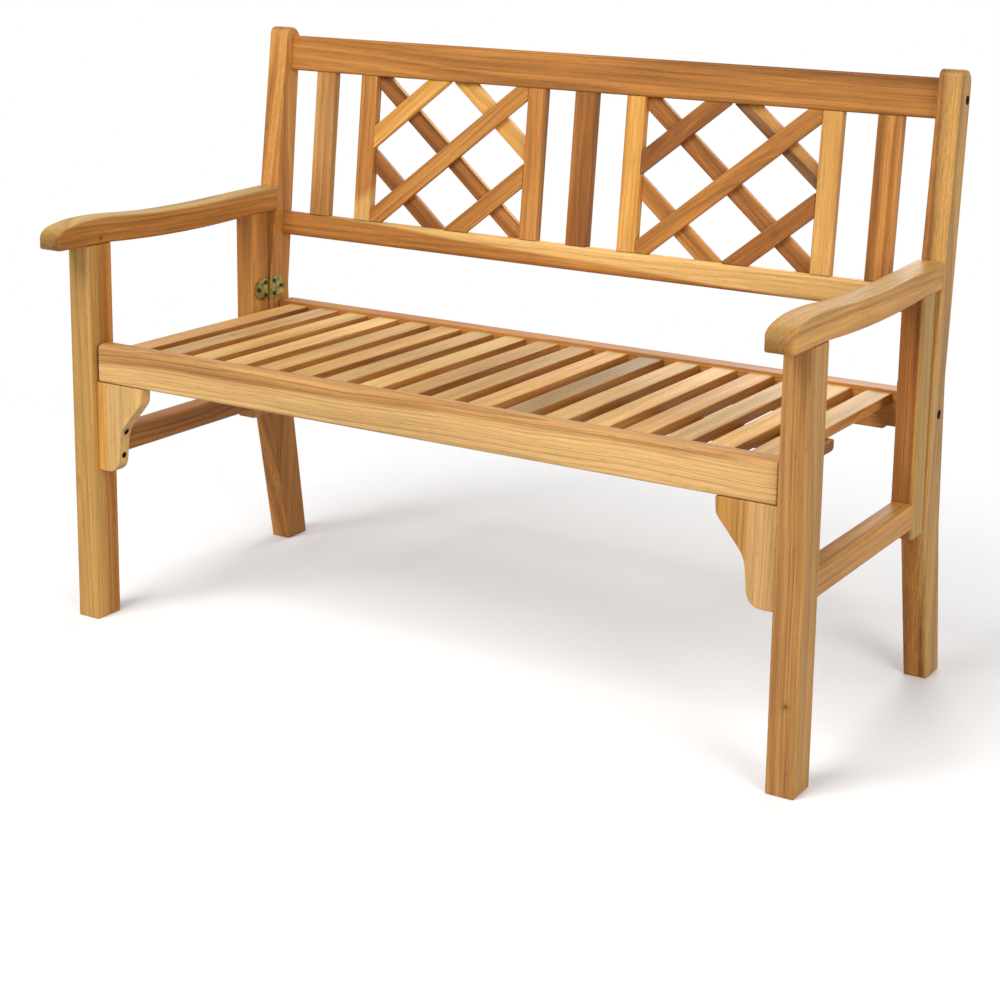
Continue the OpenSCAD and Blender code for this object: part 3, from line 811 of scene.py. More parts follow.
def rectangle(
    low: tuple[float, float], high: tuple[float, float], radii: float | Sequence[float]
) -> list[Corner]:
    """A rectangle's four corners.

    Args:
        low: The lowest corner.
        high: The highest corner.
        radii: One radius, or one for each corner, anticlockwise from the lowest.

    Returns:
        The corners with their radii.
    """
    places = (low, (high[0], low[1]), high, (low[0], high[1]))
    each = [radii] * 4 if isinstance(radii, float) else radii
    return [(u, v, radius) for (u, v), radius in zip(places, each, strict=True)]


def anticlockwise(corners: Sequence[Corner]) -> list[Corner]:
    """An outline's corners in anticlockwise order, by the sign of its area.

    Args:
        corners: The corners, in either direction.

    Returns:
        The corners, turned round if need be.
    """
    p = np.array([c[:2] for c in corners])
    q = np.roll(p, -1, axis=0)
    area = float((p[:, 0] * q[:, 1] - q[:, 0] * p[:, 1]).sum())
    return list(corners) if area > 0 else list(corners)[::-1]


def clipped(outline: np.ndarray, normal: np.ndarray, limit: float) -> np.ndarray:
    """The part of a convex outline whose distance along a direction is at most a limit.

    Args:
        outline: The outline's corners.
        normal: The direction.
        limit: The largest distance kept.

    Returns:
        The corners that are left, with new ones where the line crosses.
    """
    tiny = 1e-9
    kept = []
    for here, there in zip(outline, np.roll(outline, -1, axis=0), strict=True):
        a, b = here @ normal - limit, there @ normal - limit
        if a <= tiny:
            kept.append(here)
        if (a < -tiny and b > tiny) or (a > tiny and b < -tiny):
            kept.append(here + (there - here) * a / (a - b))
    return np.array(kept)


def place_mesh(name: str, mesh: bpy.types.Mesh) -> Object:
    """Puts a mesh into the scene as an object at the origin.

    Args:
        name: The object's name.
        mesh: The mesh.

    Returns:
        The object.
    """
    obj = bpy.data.objects.new(name, mesh)
    bpy.context.scene.collection.objects.link(obj)
    return obj


def make_object(name: str, solid: Solid) -> Object:
    """Puts a solid into a mesh object at the origin, shaded smooth but for its sharp edges.

    Args:
        name: The object's name.
        solid: The solid, in millimetres.

    Returns:
        The object.
    """
    mesh = bpy.data.meshes.new(name)
    mesh.from_pydata((solid.points * MM).tolist(), [], solid.faces())
    mesh.update()
    mesh.polygons.foreach_set("use_smooth", [True] * len(mesh.polygons))
    mesh.set_sharp_from_angle(angle=math.radians(SHARP_DEG))
    return place_mesh(name, mesh)


def weighted_normals(obj: Object) -> None:
    """Lets the large faces set the shading, so that they look flat up to their rounded edges.

    Args:
        obj: The board.
    """
    modifier = obj.modifiers.new("flat_faces", "WEIGHTED_NORMAL")
    modifier.keep_sharp = True
    modifier.weight = LARGE_FACE_WEIGHT


def cylinders(name: str, holes: Sequence[Hole], sides: int = 32) -> Object:
    """One mesh of closed cylinders, to cut holes with; the holes' walls take a board's second material, the
    painted shade of a hole's wall.

    A point at angle a lies at radius * (side * cos a + up * sin a) from the hole's line, where side and up
    are square to it and to each other.

    Args:
        name: The object's name.
        holes: Start, end and radius of each cylinder, in millimetres.
        sides: Faces round a cylinder.

    Returns:
        The object.
    """
    angle = np.linspace(0, 2 * math.pi, sides, endpoint=False)
    points, faces = [], []
    for i, (start, end, radius) in enumerate(holes):
        along = (end - start).normalized()
        side = along.orthogonal().normalized()
        up = along.cross(side)
        ring = radius * (np.cos(angle)[:, None] * np.array(side) + np.sin(angle)[:, None] * np.array(up))
        solid = Solid(np.concatenate([np.array(start) + ring, np.array(end) + ring]), 2, sides)
        points.append(solid.points)
        faces += solid.faces(i * 2 * sides)
    mesh = bpy.data.meshes.new(name)
    mesh.from_pydata((np.concatenate(points) * MM).tolist(), [], faces)
    mesh.polygons.foreach_set("material_index", [1] * len(mesh.polygons))
    return place_mesh(name, mesh)


def drill(obj: Object, holes: Sequence[Hole]) -> None:
    """Cuts round holes into a board.

    Args:
        obj: The board.
        holes: Start, end and radius of each hole, in millimetres.
    """
    cutter = cylinders(obj.name + "_drill", holes)
    modifier = obj.modifiers.new("holes", "BOOLEAN")
    modifier.operation = "DIFFERENCE"
    modifier.solver = "EXACT"
    modifier.object = cutter
    graph = bpy.context.evaluated_depsgraph_get()
    cut = bpy.data.meshes.new_from_object(obj.evaluated_get(graph))
    obj.modifiers.remove(modifier)
    old, obj.data = obj.data, cut
    bpy.data.meshes.remove(old)
    bpy.data.objects.remove(cutter)
    obj.data.set_sharp_from_angle(angle=math.radians(SHARP_DEG))


@dataclass
class Workshop:
    """Makes boards, dresses them and puts them on the bench in place of the plain solids."""

    frame: dict
    wood: OiledAcacia = field(default_factory=OiledAcacia)

    def __post_init__(self) -> None:
        """Looks up each node's body and material slot."""
        record = self.frame["record"]
        self.bodies = {n: b for b, nodes in record["behaviour"]["bodies"].items() for n in nodes}
        self.slots = {s["node"]: s["material_slot"] for s in record["subparts"]}
        # The walls of drilled holes are painted near black: painted shade in the holes.
        self.hole_wall = PaintedShadeHoleWall().material()

    def box(self, node: str) -> tuple[Vector, Vector]:
        """A node's lowest and highest corners in millimetres."""
        low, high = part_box(node)
        return low * PER_METRE, high * PER_METRE

    def fit(
        self,
        node: str,
        solid: Solid,
        figure: Figure,
        along: Vector,
        holes: Sequence[Hole] = (),
        piece: str | None = None,
    ) -> None:
        """Puts a board in place of a node and dresses it.

        Args:
            node: The node that the board stands for.
            solid: The board's shape.
            figure: How the board was cut.
            along: The grain's direction.
            holes: Start, end and radius of each hole in it.
            piece: The board's name, where a node has several.
        """
        obj = make_object(piece or node + "_board", solid)
        middle = Vector((solid.points.min(axis=0) + solid.points.max(axis=0)) / 2)
        obj.data.materials.append(self.wood.material("acacia_" + (piece or node), figure, along, middle))
        if holes:
            obj.data.materials.append(self.hole_wall)
            drill(obj, holes)
        weighted_normals(obj)
        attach(obj, self.bodies[node])
        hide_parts(node)
        log.info("%s stands for %s", obj.name, node)

    def box_board(
        self, node: str, grain: Along, radii: float | Sequence[float], edge: float, figure: Figure
    ) -> None:
        """A straight board that fills its node's box, with its outline across the grain.

        Args:
            node: The node's name.
            grain: The grain's direction.
            radii: Radii of the four long edges, anticlockwise from the lowest corner of the outline.
            edge: Radius of the end edges.
            figure: How the board was cut.
        """
        low, high = self.box(node)
        order = {Along.X: (1, 2, 0), Along.Y: (2, 0, 1), Along.Z: (0, 1, 2)}[grain]
        u, v, w = order
        corners = rectangle((low[u], low[v]), (high[u], high[v]), radii)
        solid = board(corners, low[w], high[w], edge, tuple((X, Y, Z)[i] for i in order))
        self.fit(node, solid, figure, Vector(grain.value))


@dataclass
class ArmFrames:
    """Front legs, rear posts, armrests, stretchers and corner brackets of both sides."""

    shop: Workshop

    leg_edge: float = 3.0
    post_edge: float = 2.5
    leg_end: float = 1.5
    stretcher_edges: tuple[float, ...] = (4.0, 4.0, 7.0, 7.0)
    stretcher_end: float = 0.6

    # The armrest, from its nose to its rear end.
    arm_t: float = 39.0
    arm_edge: float = 3.0
    arm_sag: float = 5.5
    arm_dip: float = 6.5
    arm_soft_r: float = 0.5
    arm_end_r: float = 1.0
    nose_edge_r: float = 7.0
    nose_r: float = 26.0
    nose_plan_r: float = 8.0
    nose_end: float = 0.6
    nose_share: float = 0.72
    tip_steps: int = 9
    nose_steps: int = 12
    nose_reach: float = 60.0
    body_steps: int = 40
    edge_most: float = 0.9
    crown_rise: float = 1.5
    crown_back: float = 5.0
    sag_share: float = 0.95
    leg_lean_deg: float = 6.9

    # Radii of the arcs of its top and the place of the hollow, all in depths of the front leg.
    crown_front_r: float = 4.0
    crown_r: float = 12.0
    hollow_r: float = 24.0
    hollow_rear_r: float = 50.0
    hollow_at: float = 3.0

    # The corner bracket, from its tip under the seat to its foot on the leg. Each bend of its ogee has its
    # distance from tip or foot, its share of the height and its radius.
    bracket_edge: float = 1.6
    bracket_tip_r: float = 2.0
    upper_bend: Triple = (1.0, 0.17, 20.0)
    lower_bend: Triple = (6.0, 0.53, 45.0)
    bracket_foot: float = 40.0
    bracket_foot_r: float = 22.0
    bracket_screws: tuple[float, float] = (0.53, 0.80)
    screw_r: float = 4.7
    screw_seat: float = 16.0

    def build(self) -> None:
        """Builds both arm frames."""
        outer, inner = (1, 0, 0), (-1, 0, 0.35)
        legs = {
            "left": Figure(
                Tone.AMBER, 1.3, pith=60, ring=6, contrast=0.35, light=0.06,
                sap_and_lit_side=SapwoodAndLitSide((0.15, -0.99, 0), 3, 8, "#CB9B54", soft=5.0, wave=10.0),
            ),
            "right": Figure(
                Tone.TAN, 2.1, pith=80, contrast=0.35, light=0.02,
                sap_and_lit_side=SapwoodAndLitSide((1, 0.05, 0), 16, 15, "#B98746", wave=5.0), knot=Knot((4, -25, -170)),
            ),
        }
        posts = {
            "left": Figure(Tone.AMBER, 3.4, pith=70, light=0.10),
            "right": Figure(
                Tone.RUSSET, 4.2, pith=50, ring=4, contrast=0.35, light=-0.03,
                sap_and_lit_side=SapwoodAndLitSide(outer, 12, 12, "#B98E4A", wave=5.0),
            ),
        }
        stretchers = {
            "left": Figure(Tone.AMBER, 5.7, pith=45, contrast=0.35, light=-0.12),
            "right": Figure(Tone.HONEY, 6.4, pith=70, ring=6, contrast=0.35, light=-0.06),
        }
        arms = {
            "left": Figure(
                Tone.AMBER, 7.9, pith=70, ring=6, contrast=0.35, light=-0.08,
                sap_and_lit_side=SapwoodAndLitSide(inner, -14, -15, "#BF9652", soft=4.0, wave=8.0), knot=Knot((20, -165, -8), 2.5),
            ),
            "right": Figure(
                Tone.HONEY, 8.6, pith=75, ring=7, contrast=0.35,
                sap_and_lit_side=SapwoodAndLitSide(inner, -14, -14, "#BA8D49", soft=4.0, wave=8.0),
            ),
        }
        brackets = {
            "left": Figure(
                Tone.GOLD, 9.2, pith=35, ring=7,
                sap_and_lit_side=SapwoodAndLitSide(outer, -22, -30, "#E2B470", soft=6.0, wave=14.0),
            ),
            "right": Figure(
                Tone.HONEY, 10.5, pith=40, ring=7, contrast=0.4, light=0.02,
                sap_and_lit_side=SapwoodAndLitSide(outer, -8, 12, "#CFA067", soft=8.0, wave=16.0),
            ),
        }
        for name, sign in SIDES.items():
            self.shop.box_board(f"front_leg_{name}", Along.Z, self.leg_edge, self.leg_end, legs[name])
            self.shop.box_board(f"rear_post_{name}", Along.Z, self.post_edge, self.leg_end, posts[name])
            edges, end = self.stretcher_edges, self.stretcher_end
            self.shop.box_board(f"stretcher_{name}", Along.Y, edges, end, stretchers[name])
            self.armrest(f"armrest_{name}", arms[name])
            self.bracket(f"corner_bracket_{name}", sign, brackets[name])

    def armrest(self, node: str, figure: Figure) -> None:
        """An armrest: a sawn side profile with a round nose.

        It is narrowed towards its tip, so that from above its corners are arcs: at distance d behind the
        tip, half the width is half - r + sqrt(r * r - (r - d) * (r - d)). The rear end is cut to the
        rear leg's slope.

        Args:
            node: The armrest's node.
            figure: How the board was cut.
        """
        low, high = self.shop.box(node)
        leg_low, leg_high = self.shop.box("front_leg_left")
        post = self.shop.box("rear_post_left")[0].y
        crown = leg_high.z + self.arm_t
        outline = rounded_outline(self.side_profile(low, high, leg_low, leg_high, post), 1.0)[0]

        # The places of the sections: close together at the tip, where the plan is round.
        r, end = self.nose_plan_r, self.arm_end_r
        tip = r * (1 - np.cos(np.linspace(0, math.pi / 2, self.tip_steps)))
        nose = np.linspace(r, self.nose_reach, self.nose_steps)
        body = np.linspace(self.nose_reach, high.y - low.y - end, self.body_steps)
        behind = np.concatenate([tip, nose[1:], body[1:], body[-1:] + end])
        at = low.y + behind

        near = np.minimum(behind, r)
        half = (high.x - low.x) / 2 - r + np.sqrt(np.maximum(r * r - (r - near) ** 2, 0))
        inset = np.where(behind < 0.01, self.nose_end, 0.0) + np.where(at > high.y - end / 2, end, 0.0)
        bottom = interpolated(outline, at, False) + inset
        top = interpolated(outline, at, True) - inset
        # Where the nose gets thin, its edges get smaller with it.
        edge = np.minimum(self.arm_edge, np.minimum(half, (top - bottom) / 2) * self.edge_most)
        solid = lofted(at, half - inset, bottom, top, edge, (low.x + high.x) / 2)

        # Between post and rear end, each point moves forward by the leg's slope times its drop from the top.
        lean = math.tan(math.radians(self.leg_lean_deg))
        rear = np.clip((solid.points[:, 1] - post) / (high.y - post), 0, 1)
        solid.points[:, 1] -= rear * lean * (crown - solid.points[:, 2])
        self.shop.fit(node, solid, figure, Y)

    def side_profile(
        self, low: Vector, high: Vector, leg_low: Vector, leg_high: Vector, post: float
    ) -> list[Corner]:
        """An armrest's profile as seen from the side.

        Its underside lies flat on the leg and on the post and hangs in a long arc between them, and its top
        comes down from a crown over the leg into a shallow hollow. An arc over a chord c that hangs by s has
        a radius of (c * c / 4 + s * s) / (2 * s). This one is a little tighter, so that it ends short of the
        edges of leg and post.

        Args:
            low: The armrest's lowest corner.
            high: Its highest corner.
            leg_low: The front leg's lowest corner.
            leg_high: Its highest corner.
            post: Where the rear post begins along Y.

        Returns:
            The corners as (y, z, radius), anticlockwise.
        """
        under, crown = leg_high.z, leg_high.z + self.arm_t
        deep, nose = leg_high.y - leg_low.y, leg_low.y - low.y
        hollow, bottom = leg_low.y + self.hollow_at * deep, crown - self.arm_dip
        chord = post - leg_high.y
        sag_r = self.sag_share * (chord * chord / 4 + self.arm_sag**2) / (2 * self.arm_sag)
        soft, end = self.arm_soft_r, self.arm_end_r
        return [
            (low.y, under, self.nose_edge_r),
            (leg_high.y, under, soft),
            ((leg_high.y + post) / 2, under - 2 * self.arm_sag, sag_r),
            (post, under, soft),
            (high.y, under, end),
            (high.y, crown, end),
            ((hollow + post) / 2, bottom, self.hollow_rear_r * deep),
            (hollow, bottom, self.hollow_r * deep),
            (leg_high.y - self.crown_back, crown + self.crown_rise, self.crown_r * deep),
            (leg_low.y - nose / 5, crown, self.crown_front_r * deep),
            (low.y, under + self.arm_t * self.nose_share, self.nose_r),
        ]

    def bracket(self, node: str, sign: float, figure: Figure) -> None:
        """A corner bracket: an ogee from its tip under the seat down to its foot on the leg.

        Args:
            node: The bracket's node.
            sign: -1 on the left, 1 on the right.
            figure: How the board was cut.
        """
        low, high = self.shop.box(node)
        leg = high.x if sign > 0 else low.x
        reach, height, foot = high.x - low.x, high.z - low.z, self.bracket_foot
        e = self.bracket_edge
        (inward, upper, upper_r), (outward, lower, lower_r) = self.upper_bend, self.lower_bend
        shape = [
            (0, 0, e),
            (reach, 0, self.bracket_tip_r),
            (reach - inward, -height * upper, upper_r),
            (foot + outward, -height * lower, lower_r),
            (foot, -height, self.bracket_foot_r),
            (0, -height, e),
        ]
        corners = anticlockwise([(-sign * u, v, r) for u, v, r in shape])
        solid = board(corners, -high.y, -low.y, e, (X, Z, -Y), Vector((leg, 0, high.z)))
        middle = (low.y + high.y) / 2
        holes = []
        for share in self.bracket_screws:
            at = Vector((leg, middle, high.z - height * share))
            holes.append((at - X * sign * reach, at - X * sign * self.screw_seat, self.screw_r))
        self.shop.fit(node, solid, figure, Z, holes)


@dataclass
class BackFrame:
    """Rear legs, back rails, back slats and the two lattices."""

    shop: Workshop

    # The panel of rails, slats and lattices, which leans back.
    lean_deg: float = 5.7
    rail_t: float = 20.0
    rail_rear_edge: float = 3.0
    rail_end: float = 0.6
    slat_t: float = 16.0
    slat_edge: float = 2.5
    slat_end: float = 0.3
    strip_w: float = 28.5
    strip_corner_r: float = 1.2
    strip_edge: float = 0.9

    # The rear legs, from the foot up.
    leg_edge: float = 3.0
    foot_rake: float = 44.0
    foot_d: float = 50.0
    knee_z: float = 232.0
    knee_d: float = 60.0
    knee_front_r: float = 20.0
    waist_z: float = 452.0
    waist_d: float = 50.0
    bend_r: float = 60.0
    leg_lean_deg: float = 6.9
    leg_top_d: float = 36.0
    leg_top_front_r: float = 11.0
    leg_top_rear_r: float = 20.0
    hole_r: float = 7.0
    hole_depth: float = 4.0
    hole_over: float = 5.0

    def __post_init__(self) -> None:
        """Works out the leaning frame of the back panel from the lower rail's box."""
        lean = math.radians(self.lean_deg)
        low, _ = self.shop.box("lower_back_rail")
        self.along = Vector((0, math.sin(lean), math.cos(lean)))
        self.into = Vector((0, math.cos(lean), -math.sin(lean)))
        self.origin = Vector((0, low.y, low.z + self.rail_t * math.sin(lean)))

    def span(self, node: str, thick: float) -> tuple[float, float]:
        """Where a leaning board of one thickness starts and ends along the panel.

        Args:
            node: The board's node.
            thick: The board's thickness.

        Returns:
            Both heights in the panel's frame.
        """
        low, high = self.shop.box(node)
        drop = thick * -self.into.z
        inset = (self.rail_t - thick) / 2 * self.into.z
        start = (low.z + drop - self.origin.z - inset) / self.along.z
        end = (high.z - self.origin.z - inset) / self.along.z
        return start, end

    def build(self) -> None:
        """Builds the back frame."""
        lower_sap = SapwoodAndLitSide((0, 0.1, 1), 26, -30, "#E2B26C", soft=2.5)
        self.rail("top_rail", 3.5, Figure(Tone.AMBER, 11.3, pith=80, ring=6, light=-0.12))
        lower = Figure(Tone.AMBER, 12.8, pith=50, ring=9, light=0.02, sap_and_lit_side=lower_sap)
        self.rail("lower_back_rail", 7.0, lower)
        slat_sap = SapwoodAndLitSide((0.6, 0, -1), 78, 78, "#DDAA62", soft=14.0)
        slats = [
            Figure(Tone.TAN, 13.1, pith=50, contrast=0.25, light=-0.02),
            Figure(Tone.AMBER, 14.9, pith=40, ring=6, light=0.04, sap_and_lit_side=slat_sap),
            Figure(Tone.AMBER, 15.6, pith=60, ring=6, contrast=0.25),
            Figure(Tone.RUSSET, 16.2, pith=50, ring=6),
            Figure(Tone.GOLD, 17.7, pith=60, ring=7, contrast=0.2, light=0.05),
            Figure(Tone.HONEY, 18.4, ring=6, contrast=0.25, light=0.12),
            Figure(Tone.AMBER, 19.5, pith=50, light=-0.05),
        ]
        for i, figure in enumerate(slats, 1):
            self.slat(f"back_slat_{i}", figure)
        self.lattice("lattice_left_rising", 1.0, (Tone.AMBER, Tone.AMBER, Tone.GOLD))
        # The falling strips get a paler upper side face: a painted highlight where the light catches that
        # side.
        self.lattice("lattice_left_falling", -1.0, (Tone.RUSSET, Tone.RUSSET, Tone.GOLD), "#E0A85A")
        knot = Knot((12, 0, -5), 3.6)
        self.lattice("lattice_right_rising", 1.0, (Tone.RUSSET, Tone.AMBER, Tone.RUSSET), knot=knot)
        # Here too the upper side face is a painted highlight.
        self.lattice("lattice_right_falling", -1.0, (Tone.AMBER, Tone.RUSSET, Tone.UMBER), "#BC8546")
        # The right rear leg is darkened overall, and its pale band slants across the front face towards the
        # top: partly its own sapwood and tone, partly painted shade low on the front below the seat.
        leg_sapwood_and_shade = SapwoodAndLitSide((1, 0, 0), 19, -15, "#C8954F", soft=3.0, wave=5.0)
        right = Figure(Tone.AMBER, 22.2, pith=50, ring=6, contrast=0.35, light=-0.14, sap_and_lit_side=leg_sapwood_and_shade)
        self.leg("rear_leg_left", -1.0, Figure(Tone.AMBER, 21.7, pith=60, ring=6, light=0.08))
        self.leg("rear_leg_right", 1.0, right)

    def rail(self, node: str, edge: float, figure: Figure) -> None:
        """A back rail between the rear legs.

        Args:
            node: The rail's node.
            edge: Radius of its front edges.
            figure: How the board was cut.
        """
        low, high = self.shop.box(node)
        start, end = self.span(node, self.rail_t)
        rear = self.rail_rear_edge
        section = rectangle((start, 0), (end, self.rail_t), (edge, edge, rear, rear))
        corners = [(v, u, r) for u, v, r in section][::-1]
        solid = board(corners, low.x, high.x, self.rail_end, (self.into, self.along, X), self.origin)
        self.shop.fit(node, solid, figure, X)

    def slat(self, node: str, figure: Figure) -> None:
        """An upright back slat.

        Args:
            node: The slat's node.
            figure: How the board was cut.
        """
        low, high = self.shop.box(node)
        start, end = self.span(node, self.slat_t)
        inset = (self.rail_t - self.slat_t) / 2
        corners = rectangle((low.x, inset), (high.x, inset + self.slat_t), self.slat_edge)
        solid = board(corners, start, end, self.slat_end, (X, self.into, self.along), self.origin)
        self.shop.fit(node, solid, figure, self.along)

    def lattice(
        self,
        node: str,
        rise: float,
        tones: Sequence[Tone],
        lit_side_paint: str | None = None,
        knot: Knot | None = None,
    ) -> None:
        """Three parallel strips of a lattice: one on the opening's diagonal, two across its corners.

        Each strip is the opening's rectangle cut by the two lines at the strip's edges.

        Args:
            node: The strips' node.
            rise: 1 for strips that rise to the right, -1 for strips that fall.
            tones: The strips' colours, from the lower strip to the upper one.
            lit_side_paint: Colour painted on the upper side face as a painted highlight, where the light
                catches that side, or none.
            knot: A knot on the lower strip, or none.
        """
        low, high = self.shop.box(node)
        thick = self.slat_t / 2
        inset = (self.rail_t - self.slat_t) / 2 + (0 if rise > 0 else thick)
        start, end = self.span("back_slat_4", self.slat_t)
        wide, tall = high.x - low.x, end - start
        middle = np.array([(low.x + high.x) / 2, (start + end) / 2])
        angle = math.atan2(tall, wide) * rise
        normal = np.array([-math.sin(angle), math.cos(angle)])
        along = X * math.cos(angle) + self.along * math.sin(angle)
        up = X * float(normal[0]) + self.along * float(normal[1])
        half_way = wide * tall / math.hypot(wide, tall) / 2
        opening = np.array([(-wide, -tall), (wide, -tall), (wide, tall), (-wide, tall)]) / 2
        half_w = self.strip_w / 2
        rim = half_w - self.strip_corner_r
        # A pale band on the upper side face only: painted light, not sapwood.
        sap_and_lit_side = SapwoodAndLitSide(tuple(up), rim, rim, lit_side_paint, soft=0.5, wave=1.0) if lit_side_paint else None
        for i, at in enumerate((-1, 0, 1)):
            centre = at * (half_way + half_w)
            cut = clipped(opening, normal, centre + half_w)
            cut = clipped(cut, -normal, -centre + half_w) + middle
            corners = [(float(u), float(v), self.strip_corner_r) for u, v in cut]
            axes = (X, self.along, -self.into)
            solid = board(corners, -inset - thick, -inset, self.strip_edge, axes, self.origin)
            seed = 23 + i + rise * 2.7 + low.x / 97
            figure = Figure(tones[i], seed, pith=60, sap_and_lit_side=sap_and_lit_side, knot=None if i else knot)
            self.shop.fit(node, solid, figure, along, piece=f"{node}_strip_{i + 1}")

    def leg(self, node: str, sign: float, figure: Figure) -> None:
        """A rear leg: raked foot, upright middle, leaning back and a round top.

        Args:
            node: The leg's node.
            sign: -1 on the left, 1 on the right.
            figure: How the board was cut.
        """
        low, high = self.shop.box(node)
        front = low.y
        lean = math.tan(math.radians(self.leg_lean_deg))
        top_front = front + (high.z - self.waist_z) * lean
        e, bend = self.leg_edge, self.bend_r
        profile = [
            (front + self.foot_rake, 0, e),
            (front + self.foot_rake + self.foot_d, 0, e),
            (front + self.knee_d, self.knee_z, bend),
            (front + self.waist_d, self.waist_z, bend),
            (top_front + self.leg_top_d, high.z, self.leg_top_rear_r),
            (top_front, high.z, self.leg_top_front_r),
            (front, self.waist_z, bend),
            (front, self.knee_z, self.knee_front_r),
        ]
        solid = board(profile, low.x, high.x, e, (Y, Z, X))
        outer = high.x if sign > 0 else low.x
        holes = []
        for head in ("pivot_pins", "back_rail_bolts"):
            head_low, head_high = self.shop.box(head)
            middle = (head_low + head_high) / 2
            at = Vector((outer, middle.y, middle.z))
            bottom, mouth = at - X * sign * self.hole_depth, at + X * sign * self.hole_over
            holes.append((bottom, mouth, self.hole_r))
        self.shop.fit(node, solid, figure, Z, holes)


@dataclass
class Seat:
    """The tipping seat: two rails, a middle rail and eighteen slats."""

    shop: Workshop

    front_edges: tuple[float, ...] = (4.0, 4.0, 5.0, 8.0)
    front_end: float = 3.0
    rear_edge: float = 4.0
    rear_end: float = 1.2
    notch_h: float = 5.0
    notch_w: float = 35.0
    notch_r: float = 1.5
    middle_lower_edge: float = 10.0
    middle_upper_edge: float = 2.0
    middle_end: float = 2.0
    slat_edge: float = 2.0
    slat_end: float = 0.4
    slat_face: float = 6.4
    screw_hole_r: float = 4.2
    screw_hole_depth: float = 1.0
    screw_hole_over: float = 3.0

    # The colour of each slat's upper face, from left to right: partly the slat's own tone, partly painted
    # light, paler than its sides to stand in for the light on the tops.
    faces: tuple[str, ...] = (
        "#D8A25E", "#C39C62", "#D0A662", "#E0B472", "#C69C5E", "#DAA861", "#CDA363", "#DAAF6A", "#C99A5A",
        "#CA9F5F", "#D6A460", "#A78450", "#D1A664", "#DDAE68", "#D5A05A", "#CAA05C", "#DDA95F", "#D0A463",
    )
    knotted: int = 2
    dark: int = 12

    def build(self) -> None:
        """Builds the seat."""
        self.front_rail()
        self.rear_rail()
        self.middle_rail()
        for i, face in enumerate(self.faces, 1):
            figure = Figure(
                Tone.AMBER,
                40 + i * 1.37,
                pith=60 + (i * 17) % 30,
                ring=5 + (i * 7) % 4,
                contrast=0.25,
                light=-0.1 if i == self.dark else 0.0,
                # The top face gets its own paler colour: partly the slat's own tone, partly painted light on
                # the top.
                sap_and_lit_side=SapwoodAndLitSide((0, 0, 1), self.slat_face, self.slat_face, face, soft=1.0, wave=1.5),
                knot=Knot((0, -40, 7)) if i == self.knotted else None,
            )
            self.shop.box_board(f"seat_slat_{i}", Along.Y, self.slat_edge, self.slat_end, figure)

    def front_rail(self) -> None:
        """The front rail, with sapwood along its lower edge."""
        sap_and_lit_side = SapwoodAndLitSide((0, -0.1, -1), 1, -23, "#DBAD6E", soft=4.0, wave=22.0)
        figure = Figure(Tone.TAN, 30.79, pith=75, ring=6, contrast=0.5, light=0.14, sap_and_lit_side=sap_and_lit_side)
        self.shop.box_board("seat_front_rail", Along.X, self.front_edges, self.front_end, figure)

    def rear_rail(self) -> None:
        """The rear rail, notched under both ends."""
        low, high = self.shop.box("seat_rear_rail")
        e, small, step = self.rear_edge, self.rear_end, low.z + self.notch_h
        left, right = low.x + self.notch_w, high.x - self.notch_w
        corners = [
            (left, low.z, small),
            (right, low.z, small),
            (right, step, self.notch_r),
            (high.x, step, e),
            (high.x, high.z, e),
            (low.x, high.z, e),
            (low.x, step, e),
            (left, step, self.notch_r),
        ]
        solid = board(corners, -high.y, -low.y, small, (X, Z, -Y))
        self.shop.fit("seat_rear_rail", solid, Figure(Tone.AMBER, 32.6, pith=60, ring=6, contrast=0.4), X)

    def middle_rail(self) -> None:
        """The middle rail, with a counterbored hole for each slat's screw in its underside."""
        low, high = self.shop.box("seat_mid_rail")
        under, over = self.middle_lower_edge, self.middle_upper_edge
        corners = rectangle((low.x, low.z), (high.x, high.z), (under, under, over, over))
        solid = board(corners, -high.y, -low.y, self.middle_end, (X, Z, -Y))
        middle = (low.y + high.y) / 2
        holes = []
        for i in range(1, len(self.faces) + 1):
            slat_low, slat_high = self.shop.box(f"seat_slat_{i}")
            at = Vector(((slat_low.x + slat_high.x) / 2, middle, low.z))
            mouth, bottom = at - Z * self.screw_hole_over, at + Z * self.screw_hole_depth
            holes.append((mouth, bottom, self.screw_hole_r))
        self.shop.fit("seat_mid_rail", solid, Figure(Tone.TAN, 33.1, pith=60, contrast=0.4), X, holes)


